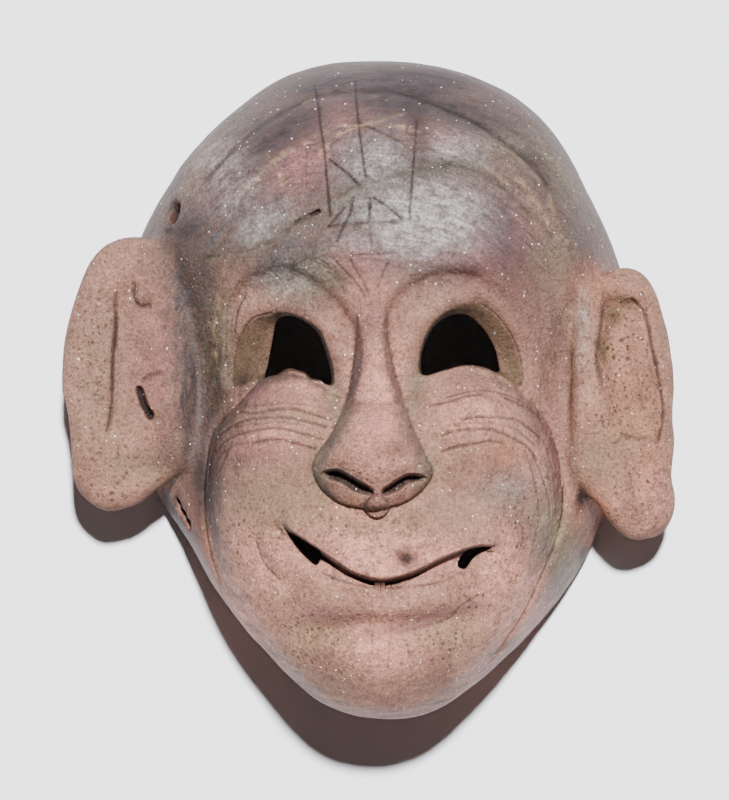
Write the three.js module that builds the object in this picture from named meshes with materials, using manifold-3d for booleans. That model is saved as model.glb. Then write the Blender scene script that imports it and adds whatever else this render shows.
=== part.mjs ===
// A grinning terracotta mask, hand-built and hollow, lying on its flat rear rim with the face up.
// Millimetres. +X is the viewer's right, +Y is the crown, +Z is the way the face looks.
import * as THREE from 'three';
import { mergeVertices } from 'three/addons/utils/BufferGeometryUtils.js';
import Module from 'manifold-3d';

// Driving dimensions
const WALL = 7.2;
const CLEAR = 6;
const HEIGHT_ABOVE = 96;
const AXIS = { x: 2, y: -2 };
const SHIFT = { x: 0.1, y: -0.6 };

// How closely the flat faces follow each skin, and the shortest edge that is still split, at large and
// around the nose and mouth
const SKIN_FIT = 0.75;
const HOLLOW_FIT = 1.8;
const EAR_FIT = 0.7;
const SHORTEST = 3.4;
const SHORTEST_FINE = 1.8;
const SHORTEST_EAR = 2.8;
const FINE_ZONE = { left: -27, right: 38, lip: 3, nose: 1 };
const DOME_DETAIL = 9;
const EAR_DETAIL = 5;
// How far out a skin is looked for, and in what steps
const FAR_OUT = 130;
const STRIDE = 3;
const EAR_SEARCH = 14;

// Outline of the rear rim, where the wall meets what the mask lies on: x, y
const RIM = [
  [-1.8, 94.3], [20, 91.3], [40, 83.8], [54, 71], [62, 58], [70.5, 41], [74.8, 26], [75.3, 6], [72.3, -16],
  [66.1, -40.4], [55.4, -60], [42.1, -72.7], [27, -83], [12, -87.5], [-2, -87], [-14, -82.5], [-27, -72],
  [-38.5, -60.5], [-51.8, -43.3], [-61.1, -30.8], [-67.7, -3.1], [-69.7, 22.9], [-66.5, 43], [-53.3, 63.4],
  [-44.3, 74.6], [-32.2, 85], [-18, 92.3],
];

// The line where the front turns into the side wall: x, y and its height
const BROW_LINE = [
  [-6, 84.3, 33], [17, 86.8, 33], [39, 78.4, 32], [49, 69, 33], [56, 50, 36], [58, 25, 36], [57, 0, 36],
  [55, -22, 38], [53, -38, 41], [46.5, -51, 44], [39.5, -66.5, 46], [30, -79, 47], [15, -90.5, 48],
  [2.7, -91.8, 48], [-11.4, -88.4, 48], [-20.6, -81, 47], [-28.5, -72, 46], [-36, -62.3, 45],
  [-41, -53.6, 43],
  [-44, -44.6, 42], [-46.5, -33, 40], [-48, -22, 36], [-51, 0, 33], [-53, 25, 33], [-53, 48, 33],
  [-49.3, 60.3, 32], [-39.4, 69, 32], [-23.6, 80.3, 32],
];
const WALL_SWELL = 3;
const WALL_RISE = [-0.2, 1.4];
const EDGE_ROUND = 4;
const CROWN_ROUND = 3;
const CROWN_FROM = [50, 75];
const FRONT_SLOPE = 0.8;

// Height of the front on the mid-line, from chin to crown: y, z
const MIDLINE = [
  [-110, 36], [-95, 46], [-88, 52], [-78, 57.5], [-62, 60], [-45, 59], [-30, 57], [-12, 56], [5, 56.5],
  [20, 59.5], [40, 59.5], [58, 54.5], [72, 46], [84, 34.5], [95, 20], [110, -2],
];
// How far the front has fallen 40 mm to either side of it: y, fall
const FALL_LEFT = [
  [-110, 30], [-90, 26], [-75, 22], [-58, 19], [-40, 18], [-20, 19], [0, 22], [20, 20], [40, 16], [60, 14],
  [80, 12], [110, 12],
];
const FALL_RIGHT = [
  [-110, 30], [-90, 24], [-75, 20], [-58, 17], [-40, 15], [-20, 15], [0, 17], [20, 17], [40, 14], [60, 12],
  [80, 10], [110, 10],
];
const FALL_AT = 40;
const FALL_POWER = 1.8;

// Outline of the swelling of cheeks, mouth and chin
const MUZZLE = [
  [-30, 3], [-38, -3], [-43, -12], [-45.3, -23], [-45.6, -33], [-43.8, -44.6], [-41, -53.6], [-36, -62.3],
  [-28.5, -72], [-20.6, -81], [-11.4, -88.4], [2.7, -91.8], [15, -90.5], [30, -79], [39.5, -66.5],
  [46.5, -51], [50.1, -42.4], [53, -34], [53.2, -24], [51.5, -14], [47, -5], [38, 2], [25, 4], [10, -2],
  [2, -4], [-8, -2], [-20, 4],
];

// Outlines of the eye sockets, and of each eye hole on the outer and on the inner skin
const ORBITS = [
  [
    [-7.4, -5.3], [-4.9, 0], [-3.1, 7], [-2.9, 12.2], [-4.1, 17.5], [-6.6, 21.5], [-10.8, 26.2],
    [-16.6, 30.6], [-23.6, 33.5], [-30.5, 32.4], [-35.9, 28.3], [-38.9, 22.5], [-39.9, 15], [-39.8, 5.3],
    [-38.5, -2], [-30, -6], [-18, -7],
  ],
  [
    [10.5, -4.2], [6.8, 3.6], [4.6, 13.4], [5.4, 21.2], [8.8, 26.6], [14.6, 30.4], [22.5, 32.6],
    [30.3, 31], [38.1, 25.1], [42.6, 19], [45.2, 11], [45.6, 1.1], [42, -4], [32, -7], [20, -7],
  ],
];
const EYE_OUTER = [
  [
    [-38.3, 1], [-37.7, 8.1], [-36, 14.3], [-32.9, 19.3], [-24.5, 21.4], [-15.3, 17.5], [-11.6, 10.6],
    [-10, 1.4], [-14.7, 2.6], [-19.8, 4.8], [-28, 3.6],
  ],
  [
    [14.3, 3.9], [14.1, 10], [17, 17.2], [22.3, 22.2], [29.5, 24], [36, 19.8], [40.8, 12.5], [42.9, 3.6],
    [41.5, 0.8], [34, 5.2], [26.5, 6.5], [20.5, 5],
  ],
];
const EYE_INNER = [
  [
    [-29.3, 2.5], [-28.4, 8], [-27.2, 14], [-25.8, 19.2], [-21.5, 20.4], [-15.3, 16.5], [-12.2, 10],
    [-10.8, 1.2], [-14.7, 3], [-18.8, 5.2], [-24, 5.2],
  ],
  [
    [14.9, 4], [14.7, 9.8], [17.5, 16.5], [21.5, 20], [27, 20.6], [32, 16.7], [35.2, 11.5], [36.4, 6.5],
    [36.1, 4.6], [32, 6.2], [26.5, 6.7], [20.5, 5.2],
  ],
];

// The nose: its outline, its rise over the face, and the line of the nostrils under its tip
const NOSE = [
  [3.5, 27], [5.6, 12], [8.6, -1], [12.4, -12], [15.5, -18.5], [17.4, -22.8], [15.5, -27], [10.5, -31.2],
  [3.5, -33.2], [-0.5, -33.4], [-8, -31.8], [-13.2, -27.6], [-15.6, -23], [-14.6, -18.5], [-9.9, -11.5],
  [-5.8, -1], [-3.9, 12], [-2, 27],
];
const NOSE_RISE = [
  [-36, 5.5], [-31, 8.5], [-26, 12], [-20, 15], [-14, 15.6], [-7, 12.6], [0, 9.2], [8, 5.6], [16, 2.6],
  [26, 0.4], [40, 0],
];
// How wide the flanks are that round the nose over, to either side of its flat front: y, width
const NOSE_FLANK = [[-36, 3.5], [-28, 6.5], [-23, 9], [-15, 8.2], [-5, 6.4], [8, 4.6], [20, 3.5]];
const NOSE_UNDER = { least: 0.8, edge: [-2, 5] };
const NOSE_HOLLOW = 0.36;
const NOSTRILS = [
  [-30, -22], [-16.5, -22.4], [-12, -23], [-9, -22.7], [-5.1, -24.8], [-1.3, -27.5], [2, -28.9],
  [5.3, -27.5], [8.4, -25.1], [11.6, -23.8], [14.9, -24.2], [19, -21.5], [30, -21],
];

// Soft creases of the face: points, depth, half-width
const CREASES = [
  {
    path: [[-31.5, 1.5], [-37, -4.5], [-44, -12], [-46.3, -23], [-46.6, -33], [-44.8, -45], [-41.5, -55]],
    deep: 1.5,
    wide: 1.3,
  },
  {
    path: [[43.5, -2], [50.5, -10], [55, -24], [54.8, -34], [52.4, -43], [49, -51], [42.5, -64], [33, -78]],
    deep: 2,
    wide: 1.8,
  },
  { path: [[-24, -38.6], [-31, -39.4]], deep: 1.2, wide: 1.6 },
  { path: [[-32, -42], [-28.5, -50], [-22.5, -54.5]], deep: 1.3, wide: 1.8 },
  { path: [[35.5, -44.5], [38, -48], [39.5, -53]], deep: 1.3, wide: 1.7 },
  { path: [[-13.5, -21], [-18, -27], [-24, -33]], deep: 0.7, wide: 3 },
  { path: [[16, -21], [22, -28], [29, -35]], deep: 0.7, wide: 3 },
];

// Soft swellings of the clay: height, middle, half-widths and turn in degrees. Those of the whole shell
// are followed by its inside too.
const SHELL_SWELLINGS = [
  { high: 5.5, x: -26, y: -15, wide: 16, tall: 16, turn: -20 },
  { high: 5.5, x: 33, y: -15, wide: 16, tall: 16, turn: 20 },
  { high: 3.5, x: 3, y: -44, wide: 22, tall: 12, turn: 0 },
];
const MUZZLE_SWELL = { high: 7.5, reach: 5 };
// Brows, the bridge between the nostrils, chin, lower lip and the hollow under it
const FACE_SWELLINGS = [
  { high: 1.5, x: 2, y: 18, wide: 60, tall: 28, turn: 0 },
  { high: 3, x: -22, y: 38, wide: 18, tall: 6, turn: 6 },
  { high: 3, x: 27, y: 38, wide: 18, tall: 6, turn: -6 },
  { high: 1.6, x: 2, y: -29.5, wide: 1.9, tall: 3, turn: 0 },
  { high: 2.5, x: 2.4, y: -76, wide: 18, tall: 9, turn: 0 },
  { high: 2, x: 2.4, y: -58.5, wide: 22, tall: 5, turn: 0 },
  { high: -2.6, x: 4, y: -65.5, wide: 26, tall: 3.2, turn: 6 },
];
// The small bead that hangs under the tip of the nose
const NOSE_BEAD = { high: 4.5, x: 2, y: -32.6, wide: 3.5, tall: 3.3 };
// The sockets sink above the cheeks, with a groove along their edge and a roll around each eye hole
const SOCKET = { sink: 3.8, slope: [-5, 1.5], fade: [-6, 6], groove: 1.9, off: 0.5, width: 1.7, low: 0.3 };
const LID = { high: 2.2, off: 2.4, wide: 2.8 };
// The upper lip stands over the slit and the face sinks a little under it
const LIP_EDGE = { high: 2.8, low: 3, edge: [-1.9, -0.1], above: [1, 14], below: [-9, -2.5] };
const LIP_ENDS = { left: [-27, -21], right: [32, 37] };

// Edge of the upper lip from corner to corner, and how wide the dark slit under it opens: x, width
const LIP = [
  [-60, -21], [-36, -33], [-23.6, -38.7], [-13.7, -44.8], [-5.1, -50.3], [2.6, -52.6], [10.5, -51.2],
  [21.9, -46.2], [30.8, -43.7], [36, -44], [46, -45], [60, -46],
];
const LIP_CORNERS = [-23.6, 34.8];
const SLIT_WIDTH = [
  [-23.6, 0.5], [-20, 2.6], [-15.5, 2.6], [-11, 1.6], [2, 1.8], [14, 1.5], [24, 1.1], [34.8, 0.3],
];
const SLIT_DEPTH = 5;

// Holes right through the clay at the corners of the mouth
const MOUTH_HOLES = [
  [
    [-21.8, -40], [-21.4, -42.2], [-19.9, -44.5], [-17.1, -47.3], [-14.6, -48.9], [-13.5, -45.2],
    [-16.5, -43],
  ],
  [
    [24.6, -49.3], [25, -47.2], [27, -44.8], [31.5, -43.9], [34.2, -44.3], [31, -45.7], [28.7, -47.3],
    [26.6, -50],
  ],
];
// Nostrils: dark slits under the tip of the nose
const NOSTRIL_SLITS = [
  [[-12.6, -23.7], [-9, -22.7], [-5.1, -24.8], [0.2, -27.9], [0, -28.8], [-3.5, -27.9], [-7.6, -25.4]],
  [[15, -24.7], [10.8, -24], [6.7, -26.2], [4.1, -28.1], [4.2, -28.9], [7.2, -27.9], [10.8, -25.6]],
];
const NOSTRIL_DEPTH = 8;
// The eye holes start to widen at a depth under the plain front, and the cuts at the corners of the mouth
// and in the left ear go right through
const EYE_CUT = { bottom: 5, under: 3, over: 0.6 };
const MOUTH_THROUGH = 30;
const EAR_THROUGH = 60;

// The ears: half their thickness, and their outlines
const EAR_HALF = 4.6;
const EAR_LEFT = [
  [-67.1, 43.2], [-73.1, 42], [-77.6, 38.6], [-81, 32.7], [-83.6, 26.1], [-85.8, 18.2], [-87.2, 10.5],
  [-87.4, 2.3], [-86.1, -5.4], [-85.1, -11.6], [-84.6, -19], [-84.1, -25], [-81.6, -30.1], [-77.9, -33.2],
  [-74.8, -34.6], [-70.8, -34.3], [-65.1, -32.3], [-60.6, -28.9], [-55, -24.5], [-50.9, -19],
  [-49.8, -8.8], [-49.8, 2.6], [-50.9, 16.8], [-54.3, 32], [-60, 41.3],
];
const EAR_RIGHT = [
  [67.8, 33.3], [72.3, 34.6], [77.1, 33.3], [81, 28.6], [83.4, 21.6], [85.4, 13.9], [86.8, 3.1],
  [86.5, -7.9], [86.9, -16], [86.1, -24.4], [87.3, -30.9], [86.3, -36.5], [83.3, -40.8], [78.5, -42.5],
  [73.5, -42.2], [68.9, -38.5], [64.5, -32.5], [60, -28], [57.5, -20], [57, -3.1], [58.1, 16.8], [62.1, 28.1],
];
const EAR_RIGHT_HOLLOW = [
  [66.6, 25.3], [71.1, 26.4], [76.2, 24.4], [78.2, 13.9], [81, 4.8], [83, -1.7], [83.3, -9.6], [82.2, -15.6],
  [77.6, -13.9], [71.1, -11.9], [68, -10.2], [65.7, 0], [64.6, 8.3], [65.2, 16.8],
];
// The groove behind the left ear's rolled edge: y, x
const HELIX_LINE = [[-12, -74.2], [-6.5, -73.5], [-3, -72.8], [7.4, -72.7], [15, -72], [30, -71.8]];
const HELIX = { roll: 1.6, rollWidth: 9, dip: 1.2, dipWidth: 7, step: 2.5, ends: [-20, -8, 24, 36] };
const EAR_LEFT_PLANE = { level: 24.5, leanX: 0.04, leanY: -0.03 };
const EAR_RIGHT_PLANE = { level: 25.5, leanX: -0.38, leanY: -0.02 };
const EAR_LEFT_SWELLINGS = [
  { high: 1.6, x: -62, y: 30, wide: 4.6, tall: 6, turn: 0 },
  { high: 2.6, x: -57.5, y: -4.5, wide: 6.5, tall: 9, turn: 0 },
  { high: -1.6, x: -65.5, y: 6, wide: 5, tall: 12, turn: 0 },
  { high: 1.5, x: -72, y: -24, wide: 12, tall: 9, turn: 0 },
];
const EAR_RIGHT_SWELLINGS = [
  { high: 1.8, x: 77, y: -31, wide: 9, tall: 8, turn: 0 },
  { high: 1.2, x: 64, y: -6, wide: 5, tall: 14, turn: 0 },
];
const EAR_BOWL = { deep: 5, slope: 2.2, lift: 1 };
const EAR_LEFT_CENTRE = { x: -68, y: 4 };
const EAR_RIGHT_CENTRE = { x: 70, y: -4 };
const EAR_HOLE = [[-65.8, -0.2], [-64.6, -0.4], [-63.2, -4.5], [-61.4, -7.4], [-62.4, -8.4], [-64.3, -5]];

// Lines drawn into the soft clay with a point: the figure on the forehead, the wrinkles of the cheeks,
// the row of teeth, and the helix of the left ear, which is cut deepest
const FOREHEAD_LINES = [
  [[-16.3, 88.3], [-14, 76], [-12.2, 62], [-11, 48.3]],
  [[-3.8, 89], [-3.5, 76], [-2.4, 68], [-1.1, 59]],
  [[13.3, 75.2], [12, 60], [11.2, 47.2]],
  [[-2.7, 74.6], [5.5, 70.8], [10.5, 68.2]],
  [[-11.3, 64.2], [-2.9, 56.6]],
  [[1.2, 53.1], [9, 47.2]],
  [[-4.5, 53.4], [-5.9, 47.4], [-9, 41]],
  [[-7.1, 50.3], [-11.5, 45]],
  [[-11.5, 45], [0, 46], [11, 46.8]],
  [[0.1, 45.8], [0.4, 38.8]],
  [[-5.1, 36.9], [5.7, 37.4]],
  [[-5.7, 36.3], [-0.4, 26.6]],
  [[5.4, 35.2], [2.3, 28]],
  [[-10.4, 36.3], [-1.3, 25.5]],
];
const WRINKLES = [
  [[-36.6, -6.5], [-29, -5.9], [-20, -5.9], [-10.7, -8.4]],
  [[-42.4, -13], [-36, -9.2], [-25.5, -7.8], [-12.1, -10.6]],
  [[-32.8, -12.6], [-25.5, -11.2], [-13.1, -14.1]],
  [[-32.8, -15.2], [-25.4, -14.5], [-15.2, -16.6]],
  [[16.5, -4.8], [26.3, -1.6], [34.2, -0.6], [43.6, -5.1], [48.8, -9.9]],
  [[25.4, -8.4], [34.1, -7.8], [42.4, -9.3], [47.6, -13.4]],
  [[20.1, -12.8], [28.7, -11.3], [36.9, -12.3], [43.5, -15.7]],
  [[19.8, -17.5], [28, -15.4], [36.9, -15.1]],
];
const TEETH_LINE = [[-13.2, -50.4], [-7.6, -52.9], [3.4, -54.9], [15.1, -54], [25.4, -50.8]];
const HELIX_CUT = [[-74.2, -12], [-72.9, -4], [-72.7, 7.4], [-72, 15], [-71.8, 27]];
const FOREHEAD_CUT = { half: 0.45, deep: 0.8 };
const WRINKLE_CUT = { half: 0.5, deep: 0.8 };
const TEETH_CUT = { half: 0.4, deep: 0.6 };
const EAR_CUT = { half: 0.8, deep: 2.4 };
const CUT_STEP = 6;
const CUT_LIFT = 2;
const CUT_END = 0.35;

// Slot and pierced hole through the left wall, bored inwards and down: middle, length, width, turns
const WALL_SLOT = {
  x: -52, y: -34.8, z: 21, long: 10.5, wide: 3.2, deep: 24, heading: 30, tilt: 30, spin: 66,
};
const TEMPLE_HOLE = {
  x: -55.6, y: 50.4, z: 27, long: 6.2, wide: 4.4, deep: 26, heading: -40, tilt: 50, spin: 75,
};

const clamp = (value, low, high) => Math.min(high, Math.max(low, value));

const ease = (from, to, value) => {
  const t = clamp((value - from) / (to - from), 0, 1);
  return t * t * (3 - 2 * t);
};

// How far soft swellings lift a place
const swelling = (list, x, y) => list.reduce((sum, { high, x: cx, y: cy, wide, tall, turn }) => {
  const angle = THREE.MathUtils.degToRad(turn);
  const u = ((x - cx) * Math.cos(angle) + (y - cy) * Math.sin(angle)) / wide;
  const v = ((y - cy) * Math.cos(angle) - (x - cx) * Math.sin(angle)) / tall;
  return sum + high * Math.exp(-u * u - v * v);
}, 0);

// The larger of two values, rounded over where they meet
const roundedMax = (a, b, radius) => {
  const h = clamp(0.5 + (0.5 * (a - b)) / radius, 0, 1);
  return b + (a - b) * h + radius * h * (1 - h);
};

// A smooth curve through a few stations
function through(stations) {
  const at = stations.map((station) => station[0]);
  const value = stations.map((station) => station[1]);
  const last = at.length - 1;
  const slope = at.map((_, i) => {
    const before = i > 0 ? (value[i] - value[i - 1]) / (at[i] - at[i - 1]) : null;
    const after = i < last ? (value[i + 1] - value[i]) / (at[i + 1] - at[i]) : null;
    if (before === null) return after;
    if (after === null) return before;
    const left = at[i] - at[i - 1];
    const right = at[i + 1] - at[i];
    return (after * left + before * right) / (left + right);
  });
  return (x) => {
    const place = clamp(x, at[0], at[last]);
    let i = 0;
    while (i < last - 1 && place >= at[i + 1]) i += 1;
    const span = at[i + 1] - at[i];
    const t = (place - at[i]) / span;
    const rest = 1 - t;
    return (1 + 2 * t) * rest * rest * value[i] + t * rest * rest * span * slope[i]
      + t * t * (3 - 2 * t) * value[i + 1] - t * t * rest * span * slope[i + 1];
  };
}

// A closed smooth outline through a few points
const outline = (points, steps = 4) => new THREE.CatmullRomCurve3(
  points.map(([x, y]) => new THREE.Vector3(x, y, 0)), true, 'catmullrom', 0.5,
).getPoints(points.length * steps);

// Distance from an outline, negative inside it
function outlineDistance(points) {
  const loop = outline(points);
  return (x, y) => {
    let nearest = Infinity;
    let within = false;
    for (let i = 0; i + 1 < loop.length; i += 1) {
      const a = loop[i];
      const b = loop[i + 1];
      const ex = b.x - a.x;
      const ey = b.y - a.y;
      const along = clamp(((x - a.x) * ex + (y - a.y) * ey) / (ex * ex + ey * ey), 0, 1);
      const dx = x - a.x - along * ex;
      const dy = y - a.y - along * ey;
      nearest = Math.min(nearest, dx * dx + dy * dy);
      if ((a.y > y) !== (b.y > y) && x < a.x + (ex * (y - a.y)) / ey) within = !within;
    }
    return within ? -Math.sqrt(nearest) : Math.sqrt(nearest);
  };
}

// Radius, or height, of a ring of points about the head's axis, as a smooth function of the angle
function aroundAxis(points, measure) {
  const turns = [-1, 0, 1].flatMap((turn) => points.map((point) => [
    Math.atan2(point[1] - AXIS.y, point[0] - AXIS.x) + turn * 2 * Math.PI, measure(point),
  ]));
  return through(turns.sort((a, b) => a[0] - b[0]));
}
const radiusOf = ([x, y]) => Math.hypot(x - AXIS.x, y - AXIS.y);

const rimRadius = aroundAxis(RIM, radiusOf);
const browRadius = aroundAxis(BROW_LINE, radiusOf);
const browHeight = aroundAxis(BROW_LINE, (point) => point[2]);

// Distance from an open path
function pathDistance(points) {
  return (x, y) => {
    let nearest = Infinity;
    for (let i = 0; i + 1 < points.length; i += 1) {
      const [ax, ay] = points[i];
      const ex = points[i + 1][0] - ax;
      const ey = points[i + 1][1] - ay;
      const along = clamp(((x - ax) * ex + (y - ay) * ey) / (ex * ex + ey * ey), 0, 1);
      nearest = Math.min(nearest, Math.hypot(x - ax - along * ex, y - ay - along * ey));
    }
    return nearest;
  };
}

const creases = CREASES.map(({ path, deep, wide }) => {
  const away = pathDistance(path);
  return (x, y) => deep * Math.exp(-((away(x, y) / wide) ** 2));
});
const midline = through(MIDLINE);
const fallLeft = through(FALL_LEFT);
const fallRight = through(FALL_RIGHT);
const muzzle = outlineDistance(MUZZLE);
const orbits = ORBITS.map(outlineDistance);
const eyes = EYE_OUTER.map(outlineDistance);
const nose = outlineDistance(NOSE);
const noseRise = through(NOSE_RISE);
const noseFlank = through(NOSE_FLANK);
const nostrils = through(NOSTRILS);
const lip = through(LIP);

const pillow = (distance, height, reach) => height * (1 - Math.exp(Math.min(distance, 0) / reach));

// The head without its carving: what the hollow inside follows
function plainFront(x, y) {
  const side = Math.abs(x - AXIS.x) / FALL_AT;
  const fall = x < AXIS.x ? fallLeft(y) : fallRight(y);
  return midline(y) - fall * side ** FALL_POWER
    + pillow(muzzle(x, y), MUZZLE_SWELL.high, MUZZLE_SWELL.reach)
    + swelling(SHELL_SWELLINGS, x, y);
}

function noseHeight(x, y) {
  const depth = clamp(-nose(x, y) / noseFlank(y), 0, 1);
  return noseRise(y) * Math.sqrt(1 - (1 - depth) ** 2);
}

// How far a socket sinks, less the roll around its eye hole
function socketDepth(side, x, y) {
  const socket = orbits[side](x, y);
  const upper = ease(...SOCKET.fade, y);
  const low = SOCKET.low + (1 - SOCKET.low) * upper;
  return upper * SOCKET.sink * (1 - ease(...SOCKET.slope, socket))
    + low * SOCKET.groove * Math.exp(-(((socket + SOCKET.off) / SOCKET.width) ** 2))
    - upper * LID.high * Math.exp(-(((eyes[side](x, y) - LID.off) / LID.wide) ** 2));
}

// The carved front: sockets, brows, nose, lips and chin
function carvedFront(x, y) {
  let z = plainFront(x, y) - socketDepth(0, x, y) - socketDepth(1, x, y) + swelling(FACE_SWELLINGS, x, y);
  const front = ease(...NOSE_UNDER.edge, y - nostrils(x));
  z += noseHeight(x, y) * THREE.MathUtils.lerp(NOSE_UNDER.least, 1, front);
  const off = ((x - NOSE_BEAD.x) / NOSE_BEAD.wide) ** 2 + ((y - NOSE_BEAD.y) / NOSE_BEAD.tall) ** 2;
  z += NOSE_BEAD.high * Math.sqrt(Math.max(0, 1 - off));
  for (const crease of creases) z -= crease(x, y);
  const aboveLip = y - lip(x);
  const smile = ease(...LIP_ENDS.left, x) * (1 - ease(...LIP_ENDS.right, x));
  const over = ease(...LIP_EDGE.edge, aboveLip);
  z += smile * LIP_EDGE.high * over * (1 - ease(...LIP_EDGE.above, aboveLip));
  z -= smile * LIP_EDGE.low * ease(...LIP_EDGE.below, aboveLip) * (1 - over);
  return z;
}

// Negative inside the head: under its front and within its wall
function headSkin(x, y, z, front) {
  const angle = Math.atan2(y - AXIS.y, x - AXIS.x);
  const rise = z / browHeight(angle);
  const rim = rimRadius(angle);
  const radius = rim + (browRadius(angle) - rim) * clamp(rise, ...WALL_RISE)
    + WALL_SWELL * clamp(4 * rise * (1 - rise), 0, 1);
  const wall = Math.hypot(x - AXIS.x, y - AXIS.y) - radius;
  const crown = ease(...CROWN_FROM, y);
  const above = FRONT_SLOPE * (z - front(x, y));
  return roundedMax(above, wall, THREE.MathUtils.lerp(EDGE_ROUND, CROWN_ROUND, crown));
}

// Distance out from the middle of the back to a skin, in one direction
function reach(direction, front) {
  const inside = (far) => headSkin(
    AXIS.x + direction.x * far, AXIS.y + direction.y * far, direction.z * far, front,
  ) < 0;
  let outer = FAR_OUT;
  while (!inside(outer - STRIDE)) outer -= STRIDE;
  let inner = outer - STRIDE;
  for (let halving = 0; halving < 14; halving += 1) {
    const middle = (inner + outer) / 2;
    if (inside(middle)) inner = middle;
    else outer = middle;
  }
  return (inner + outer) / 2;
}

// Splits a net of faces where its skin bends away from them, and returns the net laid on the skin.
// A corner is a point on the unit ball, and place gives its point on the skin.
function fitNet(ball, place, slack, shortest) {
  const corners = ball.corners;
  const laid = corners.map(place);
  let faces = ball.faces;
  const tested = new Map();
  const middleOf = (a, b) => {
    const key = a < b ? a * 1e6 + b : b * 1e6 + a;
    if (!tested.has(key)) {
      let bend = 0;
      for (const share of [0.25, 0.5, 0.75]) {
        const on = place(corners[a].clone().lerp(corners[b], share).normalize());
        bend = Math.max(bend, on.distanceTo(laid[a].clone().lerp(laid[b], share)));
      }
      const long = laid[a].distanceTo(laid[b]);
      tested.set(key, { split: bend > slack && long > shortest(laid[a]), corner: -1 });
    }
    return tested.get(key);
  };
  const cornerOf = (a, b) => {
    const edge = middleOf(a, b);
    if (edge.corner < 0) {
      edge.corner = corners.length;
      corners.push(corners[a].clone().add(corners[b]).normalize());
      laid.push(place(corners[edge.corner]));
    }
    return edge.corner;
  };
  for (let round = 0; round < 7; round += 1) {
    // A face that splits at all splits its longest edge, so no face gets thin
    let spreading = true;
    while (spreading) {
      spreading = false;
      for (const face of faces) {
        const edges = [0, 1, 2].map((i) => middleOf(face[i], face[(i + 1) % 3]));
        const lengths = [0, 1, 2].map((i) => laid[face[i]].distanceTo(laid[face[(i + 1) % 3]]));
        const longest = edges[lengths.indexOf(Math.max(...lengths))];
        if (!longest.split && edges.some((edge) => edge.split)) {
          longest.split = true;
          spreading = true;
        }
      }
    }
    const next = [];
    for (const face of faces) {
      const marks = [0, 1, 2].map((i) => middleOf(face[i], face[(i + 1) % 3]).split);
      const count = marks.filter(Boolean).length;
      const start = count === 1 ? marks.indexOf(true) : count === 2 ? (marks.indexOf(false) + 1) % 3 : 0;
      const [a, b, c] = [0, 1, 2].map((i) => face[(start + i) % 3]);
      if (count === 0) next.push([a, b, c]);
      if (count === 1) {
        const ab = cornerOf(a, b);
        next.push([a, ab, c], [ab, b, c]);
      }
      if (count === 2) {
        const ab = cornerOf(a, b);
        const bc = cornerOf(b, c);
        next.push([ab, b, bc]);
        if (laid[a].distanceTo(laid[bc]) < laid[ab].distanceTo(laid[c])) next.push([a, ab, bc], [a, bc, c]);
        else next.push([a, ab, c], [ab, bc, c]);
      }
      if (count === 3) {
        const ab = cornerOf(a, b);
        const bc = cornerOf(b, c);
        const ca = cornerOf(c, a);
        next.push([a, ab, ca], [ab, b, bc], [ca, bc, c], [ab, bc, ca]);
      }
    }
    if (next.length === faces.length) break;
    faces = next;
  }
  return { laid, faces };
}

// The starting net: an octahedron's faces split evenly, whole or only its upper half
function startNet(detail, upperOnly) {
  const geometry = new THREE.OctahedronGeometry(1, detail);
  geometry.deleteAttribute('normal');
  geometry.deleteAttribute('uv');
  const merged = mergeVertices(geometry, 1e-5);
  const spots = merged.getAttribute('position');
  const order = merged.getIndex();
  const corners = [];
  const renumbered = new Map();
  const faces = [];
  for (let i = 0; i < order.count; i += 3) {
    const face = [0, 1, 2].map((k) => {
      const point = new THREE.Vector3().fromBufferAttribute(spots, order.getX(i + k));
      // The octahedron stands on +Y; laid down, its equator is level
      return new THREE.Vector3(point.x, -point.z, Math.abs(point.y) < 1e-6 ? 0 : point.y);
    });
    if (upperOnly && face.some((point) => point.z < 0)) continue;
    faces.push(face.map((point) => {
      const key = `${point.x.toFixed(5)} ${point.y.toFixed(5)} ${point.z.toFixed(5)}`;
      if (!renumbered.has(key)) {
        renumbered.set(key, corners.length);
        corners.push(point);
      }
      return renumbered.get(key);
    }));
  }
  return { corners, faces };
}

const wasm = await Module();
wasm.setup();

// A closed net as a solid, turned right side out if it needs it
function toSolid(laid, faces) {
  let volume = 0;
  for (const [a, b, c] of faces) volume += laid[a].dot(new THREE.Vector3().crossVectors(laid[b], laid[c]));
  const order = volume < 0 ? faces.map(([a, b, c]) => [a, c, b]) : faces;
  return new wasm.Manifold(new wasm.Mesh({
    numProp: 3,
    vertProperties: new Float32Array(laid.flatMap((point) => [point.x, point.y, point.z])),
    triVerts: new Uint32Array(order.flat()),
  }));
}

// A dome over the back of the mask, with a skirt down to a level bottom
function dome(front, inset, skirt, slack, shortest) {
  const place = (direction) => direction.clone().multiplyScalar(reach(direction, front) - inset)
    .add(new THREE.Vector3(AXIS.x, AXIS.y, 0));
  const net = fitNet(startNet(DOME_DETAIL, true), place, slack, shortest);
  const used = new Map();
  for (const face of net.faces) {
    for (let i = 0; i < 3; i += 1) used.set(`${face[i]} ${face[(i + 1) % 3]}`, [face[i], face[(i + 1) % 3]]);
  }
  const lowered = new Map();
  const under = (corner) => {
    if (skirt === 0) return corner;
    if (!lowered.has(corner)) {
      lowered.set(corner, net.laid.length);
      net.laid.push(net.laid[corner].clone().setZ(-skirt));
    }
    return lowered.get(corner);
  };
  const middle = net.laid.length;
  net.laid.push(new THREE.Vector3(AXIS.x, AXIS.y, -skirt));
  for (const [a, b] of used.values()) {
    if (used.has(`${b} ${a}`)) continue;
    if (skirt > 0) net.faces.push([b, a, under(a)], [b, under(a), under(b)]);
    net.faces.push([under(b), under(a), middle]);
  }
  return toSolid(net.laid, net.faces);
}

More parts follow.
